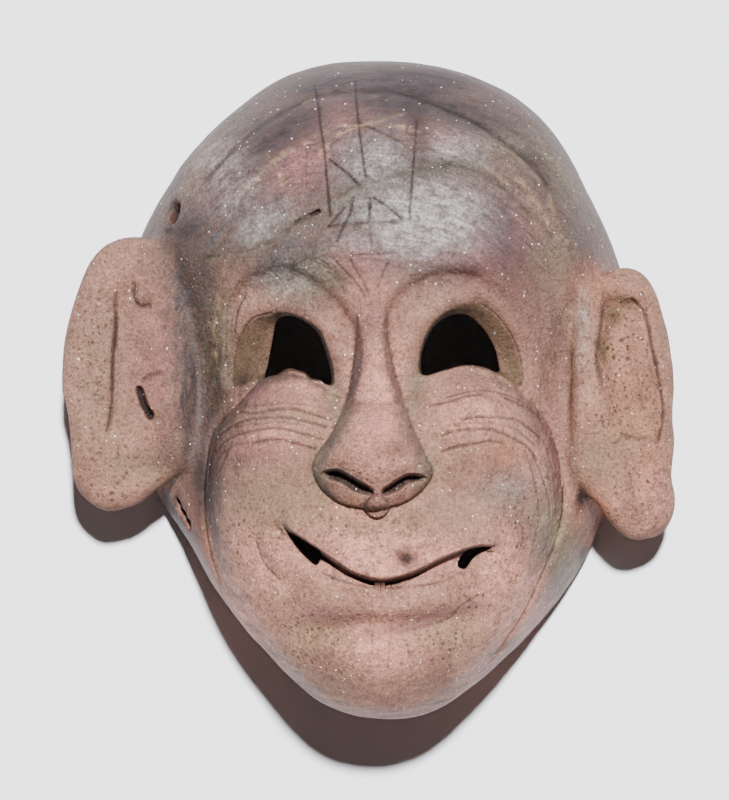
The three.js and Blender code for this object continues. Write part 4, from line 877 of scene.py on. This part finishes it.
def settle(field, p, rounds=3, most=0.8):
    """Moves points onto the surface."""
    for _ in range(rounds):
        rise = slope(field, p)
        move = (field(p) / np.maximum((rise ** 2).sum(1), 0.2))[:, None] * rise
        p = p - move * np.minimum(1, most / np.maximum(np.linalg.norm(move, axis=1, keepdims=True), 1e-9))
    p[:, 2] = np.maximum(p[:, 2], 0)
    return p


def wanted_edge(p):
    """The longest edge wanted at each place."""
    x, y, z = p.T
    head, ear = head_skin(x, y, z, carved_front), ears(x, y, z, 0.0)
    size = np.full(len(p), float(EDGE_HIDDEN))

    def nearest(*plans):
        return np.minimum.reduce([np.abs(at(plan, x, y)) for plan in plans])

    upper_ear = (ear > head) | (z > at(ear_level, x, y) - 1)
    seen = (np.minimum(head, ear) > -BESIDE["skin"]) & (z > 1) & upper_ear
    size[seen] = EDGE_SKIN
    along_lip = (nearest(above_lip) < BESIDE["lip"]) & (np.abs(x - LIP_MIDDLE) < LIP_HALF)
    turning = (at(nose, x, y) < BESIDE["nose"]) | along_lip
    size[seen & turning & (z > OVER["turn"])] = EDGE_TURN
    size[seen & (nearest(*eyes_outer, through_holes) < BESIDE["hole"])] = EDGE_HOLE
    throats = nearest(*eyes_inner, through_holes)
    size[(throats < BESIDE["throat"]) & (z > OVER["throat"])] = EDGE_HOLE
    by_bead = np.hypot(x - NOSE_BEAD["x"], y - NOSE_BEAD["y"]) < BESIDE["bead"]
    foot = by_bead | ((nearest(nose) < BESIDE["foot"]) & (y < FOOT_BELOW))
    size[seen & foot & (z > OVER["foot"])] = EDGE_FOOT
    size[seen & (nearest(mouth_slit, nostril_slits, ear_slit) < BESIDE["slit"])] = EDGE_LINE
    drawn = (at(near_line, x, y) < BESIDE["line"]) & ((z > OVER["line"]) | (ear < head))
    size[seen & drawn] = EDGE_LINE
    return size


def refine(points, faces, rounds=5):
    """Splits the edges that are longer than wanted, always the longest of a face first."""
    for _ in range(rounds):
        pairs = np.sort(faces[:, [0, 1, 1, 2, 2, 0]].reshape(-1, 2), axis=1)
        keys, where = np.unique(pairs[:, 0] * len(points) + pairs[:, 1], return_inverse=True)
        ends = np.stack([keys // len(points), keys % len(points)], axis=1)
        edges = where.reshape(-1, 3)
        middle = points[ends].mean(axis=1)
        length = np.linalg.norm(points[ends[:, 0]] - points[ends[:, 1]], axis=1)
        split = length > wanted_edge(middle)
        longest = edges[np.arange(len(edges)), length[edges].argmax(axis=1)]
        while True:
            spread = split[edges].any(axis=1) & ~split[longest]
            if not spread.any():
                break
            split[longest[spread]] = True
        if not split.any():
            break
        born = np.full(len(keys), -1)
        born[split] = len(points) + np.arange(split.sum())
        points = np.vstack([points, settle(clay, middle[split], 2)])
        marked = split[edges]
        count = marked.sum(axis=1)
        start = np.where(count == 1, marked.argmax(axis=1), 0)
        start = np.where(count == 2, (marked.argmin(axis=1) + 1) % 3, start)
        turn = (start[:, None] + np.arange(3)) % 3
        a, b, c = np.take_along_axis(faces, turn, axis=1).T
        ab, bc, ca = born[np.take_along_axis(edges, turn, axis=1)].T
        near = (np.linalg.norm(points[a] - points[bc], axis=1)
                < np.linalg.norm(points[ab] - points[c], axis=1))
        parts = [np.stack([a, b, c], axis=1)[count == 0]]
        for chosen, corners in (
                (count == 1, ((a, ab, c), (ab, b, c))),
                (count == 2, ((ab, b, bc),)),
                ((count == 2) & near, ((a, ab, bc), (a, bc, c))),
                ((count == 2) & ~near, ((a, ab, c), (ab, bc, c))),
                (count == 3, ((a, ab, ca), (ab, b, bc), (ca, bc, c), (ab, bc, ca)))):
            parts += [np.stack(corner, axis=1)[chosen] for corner in corners]
        faces = np.concatenate(parts)
    return points, faces


points, faces = surface_net(lambda p: clay(p, fine=False), *NET_BOX, NET_PITCH)
points = settle(clay, points)
points, faces = refine(points, faces)
points = settle(clay, points, 2)

mask_mesh = bpy.data.meshes.new("mask_clay")
mask_mesh.from_pydata(((points + (SHIFT["x"], SHIFT["y"], 0)) / 1000).tolist(), [], faces.tolist())
mask_mesh.polygons.foreach_set("use_smooth", [True] * len(faces))
mask_mesh.update()
mask = new_object("mask_clay", mask_mesh)


# Tones laid over the fired clay: middle, half-widths, turn in degrees and strength, in mm over the
# plan. Grey is clay that the kiln's smoke reached, with painted shade in the grooves beside the nose; violet
# a dark haematite wash, pale a lime bloom; pink, rose and orange hotter-fired clay, with one pink patch that
# is painted light on the right cheek's slope; olive thin brown dirt over the skin, with painted shade round
# the nose wings; ochre clay that is worn bare; the darkest tone old dirt and painted shade that lie in the
# hollows; and pitted the parts where the sand temper has come out.
STAINS = {
    "grey": [
        (-34, 62, 22, 26, 30, 1), (0, 68, 26, 16, 0, 0.8), (-20, 38, 20, 10, 10, 0.8),
        (-50, 20, 9, 60, 0, 0.9), (-46, -14, 5, 18, 0, 0.4), (-46, 8, 8, 34, 0, 0.9),
        (-74, 8, 12, 30, 0, 0.22), (52, 14, 5, 18, 0, 0.4), (-48, 45, 12, 20, -20, 0.9),
        (20, 30, 20, 9, 0, 0.4), (45, 55, 12, 22, 30, 0.7), (40, 70, 20, 12, -30, 0.8),
        (0, 45, 16, 12, 0, 0.5), (50, 25, 8, 22, 0, 0.35), (54, -48, 7, 22, 30, 0.6),
        # The last two patches on the next line lie in the grooves beside the nose: painted shade
        (-17, 25, 9, 6, 0, 0.5), (-1, 20, 5, 12, 0, 0.3), (-10, 0, 3, 9, 10, 0.4), (13, 0, 3, 9, -10, 0.4),
    ],
    "rose": [
        (37, 44, 11, 15, 10, 1), (27, 35, 20, 5, -8, 0.8), (45, 28, 6, 16, 0, 0.6),
        (-20, 64, 12, 9, 30, 0.7), (-42, 62, 10, 8, 40, 0.5), (-2, 36, 9, 6, 0, 0.7), (0, 24, 9, 9, 0, 0.5),
        (-8, 76, 10, 7, 0, 0.5), (18, 70, 14, 5, -10, 0.4), (14, -64, 16, 2.2, 14, 0.7),
        (-12, -62, 9, 2.2, 0, 0.7), (2, -14, 7, 9, 0, 0.4), (-28, -2, 9, 3, 0, 0.5), (24, 1, 9, 3, 0, 0.4),
        (-30, -18, 12, 4, 0, 0.5), (-64, 8, 7, 17, 0, 0.8), (-62, 8, 5, 12, 0, 0.5),
        (53, -8, 5, 16, 0, 0.5), (-12, -44, 8, 3, -30, 0.4),
    ],
    "olive": [
        # The patches on the next line and the first one on the line after lie round the nose wings and in the
        # grooves beside the nose: painted shade
        (16, -22, 3, 7, 0, 0.7), (-14.5, -22, 2.6, 7, 0, 0.8), (-10, -4, 3, 10, 12, 0.6),
        (13, 0, 3, 12, -12, 0.7), (-16, 30, 9, 4, 0, 0.8), (55, -46, 6, 20, 25, 0.9),
        (40, 68, 16, 5, -38, 0.6), (-44, 66, 14, 5, 50, 0.5), (50, 35, 7, 12, 0, 0.6),
        (-26, -30, 14, 7, 0, 0.5), (22, -34, 12, 6, 0, 0.4), (0, -82, 16, 4, 0, 0.4),
        (-42, 14, 5, 16, 0, 0.5), (-77, 10, 11, 28, 0, 0.5), (53, 60, 5, 14, 35, 0.7),
        (66, -20, 10, 8, 0, 0.5), (-66, -22, 10, 5, 0, 0.5), (26, 22, 16, 4, 0, 0.4),
        (-22, -8, 14, 2, 0, 0.4),
    ],
    "violet": [
        (9, 84, 15, 8, -5, 1), (26, 78, 18, 5, -22, 0.8), (36, 45, 9, 20, 20, 0.6),
        (24, 34, 22, 4, 0, 0.35), (-24, 72, 20, 6, 35, 0.7), (3, 62, 18, 4, 8, 0.4),
        (47, 62, 6, 16, 40, 0.5), (-47, -28, 4, 12, 0, 0.6), (16, -64, 14, 2, 14, 0.25),
        (-8, -63.5, 8, 1.5, 0, 0.25), (-10, 86, 16, 5, 4, 0.7), (14, 88, 20, 4, -4, 0.8),
    ],
    "pale": [
        (17, 47, 14, 10, 10, 0.9), (5, 50, 10, 6, 0, 0.6), (2, 62, 9, 7, 0, 0.5), (8, 41, 14, 4, 0, 0.5),
        (-41, 60, 8, 12, 30, 0.3), (38, -28, 8, 4, 20, 0.3), (-22, 31, 10, 5, 10, 0.4),
        (24, 66, 10, 5, 0, 0.4), (-30, 46, 8, 4, 30, 0.5), (60.5, 18, 1.8, 10, 0, 0.4),
    ],
    "pink": [
        # The first pink patch, on the slope of the right cheek, is painted light that lifts the shade of that
        # slope
        (46, -22, 5, 9, 0, 0.6), (-32, -62, 8, 8, 40, 0.5), (2, -6, 9, 20, 0, 0.8), (2, -46, 26, 7, 0, 0.9),
        (3, -73, 10, 12, 0, 0.9), (-28, -50, 12, 14, 0, 0.5), (38, -52, 9, 14, 0, 0.7),
        (-76, 15, 12, 30, 0, 0.35), (30, 55, 12, 12, 0, 0.3), (-25, 58, 16, 9, 20, 0.35),
        (-2, 30, 8, 8, 0, 0.5), (-30, -12, 10, 6, 0, 0.5), (30, -7, 14, 6, 0, 0.5), (34, 44, 8, 12, 0, 0.4),
        (-16, 4, 5, 10, 0, 0.4), (24, 26, 12, 5, 0, 0.4), (78, -28, 8, 12, 0, 0.4),
    ],
    "orange": [
        (-5, -34, 7, 3, 0, 0.25), (38, -18, 5, 4, 0, 0.7), (63, 36, 6, 12, 0, 0.7),
        (62, -38, 5, 10, -20, 1), (-50, -36, 4, 12, 15, 0.9), (10, -12, 3, 6, 0, 0.3),
        (-57, 52, 5, 6, 0, 0.9), (72, -4, 8, 20, 0, 0.3), (78, -22, 4, 8, 0, 0.4), (-60, -4, 5, 10, 0, 0.3),
    ],
    "ochre": [
        (44, 58, 8, 14, 35, 0.5), (70.5, 21, 3.5, 4, 0, 0.9), (66.5, 11, 3, 4, 0, 0.9),
        (74, -10, 8, 7, 0, 0.5), (-19, 33, 5, 4, 0, 0.6), (-16, 45, 12, 3, 20, 0.3),
        (52, 42, 6, 10, 20, 0.35), (-25, -33, 16, 8, 0, 0.5), (0, -38, 14, 5, 0, 0.3),
        (8, 60, 14, 4, 8, 0.4), (-70, -10, 10, 16, 0, 0.3), (20, -22, 6, 5, 0, 0.3),
        (-20, -60, 14, 8, 0, 0.3), (-15, -69, 8, 5, 0, 0.7), (22, -67, 8, 5, 0, 0.6),
    ],
    "grime_and_shade": [
        # Old dirt along the crack, and painted shade in the hollows: the pockets at the ear roots, under the
        # upper lip, beside the nose and round the temple hole
        (-47.5, -24, 2, 12, 0, 0.5), (-40, -1, 2, 8, -40, 0.3), (10, -46.6, 3.2, 2.6, 0, 0.8),
        (7, -16.5, 3, 3, 0, 0.35), (-52, 45, 4, 3, 0, 0.4), (60, -31, 1.7, 3.4, 0, 0.9),
        (61, -48, 1.4, 3, -10, 0.7), (57, 4, 1.5, 20, 0, 0.3), (70, 20, 1.8, 2.4, 0, 0.5),
        (66.5, 10, 1.6, 2.6, 0, 0.5), (74, -29, 2, 7, 10, 0.35), (-60, -20, 8, 4, 0, 0.3),
        (14, 72, 3, 12, 10, 0.4), (0, -1, 2, 12, 0, 0.1), (20, 62, 10, 2, 10, 0.4), (-9, 31, 4, 3, 0, 0.4),
        (-56.6, 45, 2.2, 0.8, -30, 1), (-35.5, 2.5, 3, 3, 0, 0.5), (-55, 51.5, 1, 2, 30, 0.6),
    ],
    "pitted": [
        (-14, -70, 12, 9, 0, 1), (20, -70, 10, 8, 0, 1), (-34, -40, 10, 14, 0, 0.8),
        (42, -40, 8, 14, 0, 0.8), (-72, -24, 12, 10, 0, 1), (70, 4, 12, 26, 0, 0.9), (76, -30, 9, 9, 0, 1),
        (0, -38, 12, 8, 0, 0.9), (-78, 12, 8, 30, 0, 0.7), (28, -60, 10, 8, 0, 0.7),
        (-10, -40, 14, 8, 0, 0.6), (0, -20, 10, 10, 0, 0.5),
    ],
}
# A stain is full over its middle. Grey lies as smoke on the forehead, and on the steep walls as smoke and as
# painted shade, darker on the left wall, which faces away from the lamp: how dark it is on the left wall, on
# the right wall and on the forehead, and the y between which it begins on each
STAIN_GAIN = 1.4
SMOKE_AND_SHADE = {"left": 0.95, "right": 0.6, "forehead": 0.92}
SMOKE_AND_SHADE_FROM = {"walls": (-62, -35), "forehead": (24, 42)}
SEAM_SHARE = 0.6

# Where the skin faces, how deep under the outer skin it lies, and the places that this sets apart
x, y, z = points.T
outward = slope(clay, points)
outward /= np.linalg.norm(outward, axis=1, keepdims=True)
skin = np.minimum(head_skin(x, y, z, carved_front), ears(x, y, z, 0.0))
outer_side = ease(-4.5, -1.5, skin)
off_ears = ease(2, -1, at(ear_plan, x, y) * -1)
steep = ease(0.75, 0.3, outward[:, 2]) * outer_side * ease(0, 2, at(ear_plan, x, y))
masks = {}
for name, patches in STAINS.items():
    patches = [swelling([patch], x, y) for patch in patches]
    masks[name] = np.clip(STAIN_GAIN * np.max(patches, axis=0), 0, 1)
# Grey on the steep walls grows as a place turns sideways: smoke and painted shade
masks["grey"] = np.maximum.reduce([
    masks["grey"],
    steep * np.where(x < 0, SMOKE_AND_SHADE["left"], SMOKE_AND_SHADE["right"]) * ease(*SMOKE_AND_SHADE_FROM["walls"], y),
    SMOKE_AND_SHADE["forehead"] * ease(*SMOKE_AND_SHADE_FROM["forehead"], y) * off_ears])
# Bare cut clay in the flare of the eye holes, drawn darker as painted shade of the holes, and the dark drawn
# into the lines and slits that lie open to the front, which in the slits is painted shade
below = z - at(plain_front, x, y)
flare = np.maximum.reduce([ease(0.5, -0.5, at(wide, x, y)) for wide in eyes_outer])
# The flare of the eye holes is drawn darker: bare cut clay, and painted shade of the holes
masks["cut"] = flare * ease(0.6, -1.2, below) * outer_side
open_to_front = np.maximum(ease(0.1, 0.5, outward[:, 2]), ease(-0.8, -2, skin))
lined = ease(-9, -6, skin) * at(line_mark, x, y) * open_to_front
masks["grime_and_shade"] = np.maximum(masks["grime_and_shade"], lined)
masks["seam"] = SEAM_SHARE * at(seam, x, y) * outer_side
masks["bare"] = at(scratched, x, y) * outer_side
masks["smooth"] = np.clip(masks["grey"] + steep, 0, 1) * off_ears
# The inner surface is drawn dark brown: painted shade inside the hollow mask
masks["inside"] = 1 - outer_side
for name, values in masks.items():
    layer = mask_mesh.attributes.new(name, "FLOAT", "POINT")
    layer.data.foreach_set("value", np.clip(values, 0, 1).astype(np.float32))

# Low-fired terracotta, unglazed: matt and open-pored, tempered with sand, so that the eye sees a warm
# beige full of dark pits and small white specks, white grit with painted glints; burnished with a pebble on
# the brow and the side walls, which leaves long streaks that follow the crown.
CLAY_TONES = ("#775447", "#98705F")
TONES = {
    "pink": ("#B97F70", 0.85), "ochre": ("#8A7054", 0.7), "orange": ("#97604A", 0.85),
    "grey": ("#393333", 0.95), "rose": ("#7E524F", 0.8), "olive": ("#6E5F4B", 0.75),
    "bare": ("#A98C6A", 0.9), "violet": ("#2B2125", 0.95), "pale": ("#87817F", 0.95),
    # The inside tone is painted shade over the inner surface, and the cut tone darkens the eye holes' flare,
    # partly as painted shade
    "seam": ("#4F4A37", 0.85), "cut": ("#4F3E2D", 0.9), "inside": ("#463329", 0.95),
    # The darkest tone is old dirt and painted shade in the hollows, the lines and the slits
    "grime_and_shade": ("#1A1210", 0.95),
}
PIT_TONE = "#3C251D"
GRIT_AND_GLINT_TONE = "#F4EFEA"
# The tones that keep firm edges; the others break up over the mottled ground
FIRM_TONES = ("grey", "cut", "grime_and_shade", "inside")
CLOUD_MM, MOTTLE_MM, GRAIN_MM, PORE_MM, PIT_MM, GRIT_AND_GLINT_MM = 15.0, 3.2, 0.8, 1.25, 1.9, 2.1
# A burnishing streak's width, how often it breaks off around the head, and its height on the walls
STREAK_MM, STREAK_TURNS, STREAK_TALL = 1.3, 7.0, 9.0
# How finely and how far the outlines of the pits and the grits are shaken
SHAKE_SCALE, SHAKE_MM = 1.3, 0.9

terracotta, tree = new_material("unglazed terracotta")
place = add(tree, "ShaderNodeTexCoord")


def scaled(vector, scale):
    """A vector or a colour times a number."""
    return add(tree, "ShaderNodeVectorMath", {0: vector, "Scale": scale}, operation="SCALE").outputs[0]


in_mm = scaled(place.outputs["Object"], 1000.0)


def noise(size_mm, detail=3.0, rough=0.55, where=None):
    """Noise whose lumps are about a size across."""
    return add(tree, "ShaderNodeTexNoise", {
        "Vector": where or in_mm, "Scale": 1 / size_mm, "Detail": detail, "Roughness": rough,
    }).outputs[0]


def spread(value, low, high, to_low=0.0, to_high=1.0):
    """A value's span laid out over another span."""
    return add(tree, "ShaderNodeMapRange", {0: value, 1: low, 2: high, 3: to_low, 4: to_high}).outputs[0]


def calc(operation, *values, **settings):
    """A sum or another piece of arithmetic."""
    return add(tree, "ShaderNodeMath", dict(enumerate(values)), operation=operation, **settings).outputs[0]


def mix(factor, under, over):
    """One colour laid over another."""
    return add(tree, "ShaderNodeMix", {0: factor, 6: under, 7: over}, data_type="RGBA").outputs[2]


def mask_of(name):
    """How strongly a stain or a side shows at each place."""
    return add(tree, "ShaderNodeAttribute", attribute_name=name).outputs["Fac"]


cloud, mottle, grain = noise(CLOUD_MM, 5.0, 0.6), noise(MOTTLE_MM, 5.0, 0.7), noise(GRAIN_MM, 3.0, 0.65)
split = add(tree, "ShaderNodeSeparateXYZ", {0: in_mm})
across, along = calc("SUBTRACT", split.outputs[0], AXIS["x"]), calc("SUBTRACT", split.outputs[1], AXIS["y"])
ring = calc("SQRT", calc("ADD", calc("MULTIPLY", across, across), calc("MULTIPLY", along, along)))
turned = calc("MULTIPLY", calc("ARCTAN2", along, across), STREAK_TURNS)
round_head = add(tree, "ShaderNodeCombineXYZ", {
    0: calc("DIVIDE", ring, STREAK_MM), 1: turned, 2: calc("DIVIDE", split.outputs[2], STREAK_TALL),
})
streak = noise(1.0, 4.0, 0.65, round_head.outputs[0])
smooth = mask_of("smooth")
shake = add(tree, "ShaderNodeTexNoise", {"Vector": in_mm, "Scale": SHAKE_SCALE, "Detail": 2.0}).outputs[1]
shaken = add(tree, "ShaderNodeVectorMath", {0: in_mm, 1: scaled(shake, SHAKE_MM)}).outputs[0]


def spots(size_mm, radius, edge):
    """Small ragged spots, at most one to a cell of a size and of uneven width."""
    cells = add(tree, "ShaderNodeTexVoronoi", {"Vector": shaken, "Scale": 1 / size_mm})
    chance = add(tree, "ShaderNodeSeparateColor", {0: cells.outputs["Color"]})
    width = calc("MULTIPLY", chance.outputs[0], radius)
    return spread(calc("SUBTRACT", width, cells.outputs["Distance"]), 0.0, edge)


color = mix(spread(cloud, 0.35, 0.65), linear(CLAY_TONES[0]), linear(CLAY_TONES[1]))
broken = spread(mottle, 0.32, 0.68, 0.35, 1.5)
worn = spread(streak, 0.35, 0.65, 0.7, 1.15)
for name, (hex_tone, strength) in TONES.items():
    share = mask_of(name)
    if name not in FIRM_TONES:
        share = calc("MULTIPLY", share, broken)
    if name == "grey":
        share = calc("MULTIPLY", share, worn)
    share = calc("MULTIPLY", share, strength, use_clamp=True)
    color = mix(share, color, linear(hex_tone))
shade = calc("MULTIPLY", spread(grain, 0.3, 0.7, 0.6, 1.25), spread(mottle, 0.3, 0.7, 0.8, 1.22))
streaked = calc("ADD", 1.0, calc("MULTIPLY", smooth, spread(streak, 0.3, 0.7, -0.5, 0.55)))
shade = calc("MULTIPLY", shade, streaked)
color = scaled(color, shade)
# Open pores and pits, more of them where the sand has come out and none inside, then the white specks,
# grit and painted glints
open_pores = spread(noise(PORE_MM, 3.0, 0.75, shaken), 0.58, 0.66)
outside = calc("SUBTRACT", 1.0, mask_of("inside"))
pit_share = calc("MULTIPLY", spread(mask_of("pitted"), 0.0, 1.0, 0.3, 0.8), outside)
pits = calc("MULTIPLY", calc("MAXIMUM", open_pores, spots(PIT_MM, 0.4, 0.15)), pit_share)
grits_and_glints = spots(GRIT_AND_GLINT_MM, 0.15, 0.05)
color = mix(pits, color, linear(PIT_TONE))
color = mix(calc("MULTIPLY", grits_and_glints, 0.9), color, linear(GRIT_AND_GLINT_TONE))
# The fine relief of the skin, in mm
height = calc("ADD", calc("MULTIPLY", grain, 0.16), calc("MULTIPLY", mottle, 0.5))
height = calc("SUBTRACT", height, calc("MULTIPLY", pits, 0.2))
height = calc("ADD", height, calc("MULTIPLY", calc("MULTIPLY", streak, smooth), 0.35))
bump = add(tree, "ShaderNodeBump", {"Strength": 0.9, "Distance": 0.001, "Height": height})
finish_material(tree, add(tree, "ShaderNodeBsdfPrincipled", {
    "Base Color": color, "Roughness": spread(smooth, 0.0, 1.0, 0.85, 0.6), "Specular IOR Level": 0.3,
    "Normal": bump.outputs[0],
}))
mask_mesh.materials.append(terracotta)
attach(mask, "root")
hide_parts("mask")


# Light and camera: a lamp from beyond the crown, small enough to throw the firm shadows under the chin
# and the ears, even light from all around, and the camera a metre and a half straight above.
LAMP_WAY = (-0.06, -0.37, -0.93)
LAMP_POWER, LAMP_SPREAD, ROOM_LIGHT = 10.4, 0.07, 0.05
CAMERA_HEIGHT = 1.5
FRAME_TALL = 0.2312
CAMERA_PLACE = (-0.0014 + SHIFT["x"] / 1000, -0.0031 + SHIFT["y"] / 1000, CAMERA_HEIGHT)
ROOM_COLOR = (1, 0.95, 0.92, 1)
SENSOR_MM = 24

lamp = bpy.data.lights.new("lamp", "SUN")
lamp.energy, lamp.angle = LAMP_POWER, LAMP_SPREAD
lamp_object = new_object("lamp", lamp)
lamp_object.rotation_euler = Vector(LAMP_WAY).to_track_quat("-Z", "Y").to_euler()
world = bpy.data.worlds.new("room")
world.use_nodes = True
world.node_tree.nodes["Background"].inputs["Color"].default_value = ROOM_COLOR
world.node_tree.nodes["Background"].inputs["Strength"].default_value = ROOM_LIGHT
bpy.context.scene.world = world

camera = bpy.data.cameras.new("camera")
camera.sensor_fit, camera.sensor_height = "VERTICAL", SENSOR_MM
camera.lens = SENSOR_MM * CAMERA_HEIGHT / FRAME_TALL
camera_object = new_object("camera", camera)
camera_object.location = CAMERA_PLACE
bpy.context.scene.camera = camera_object
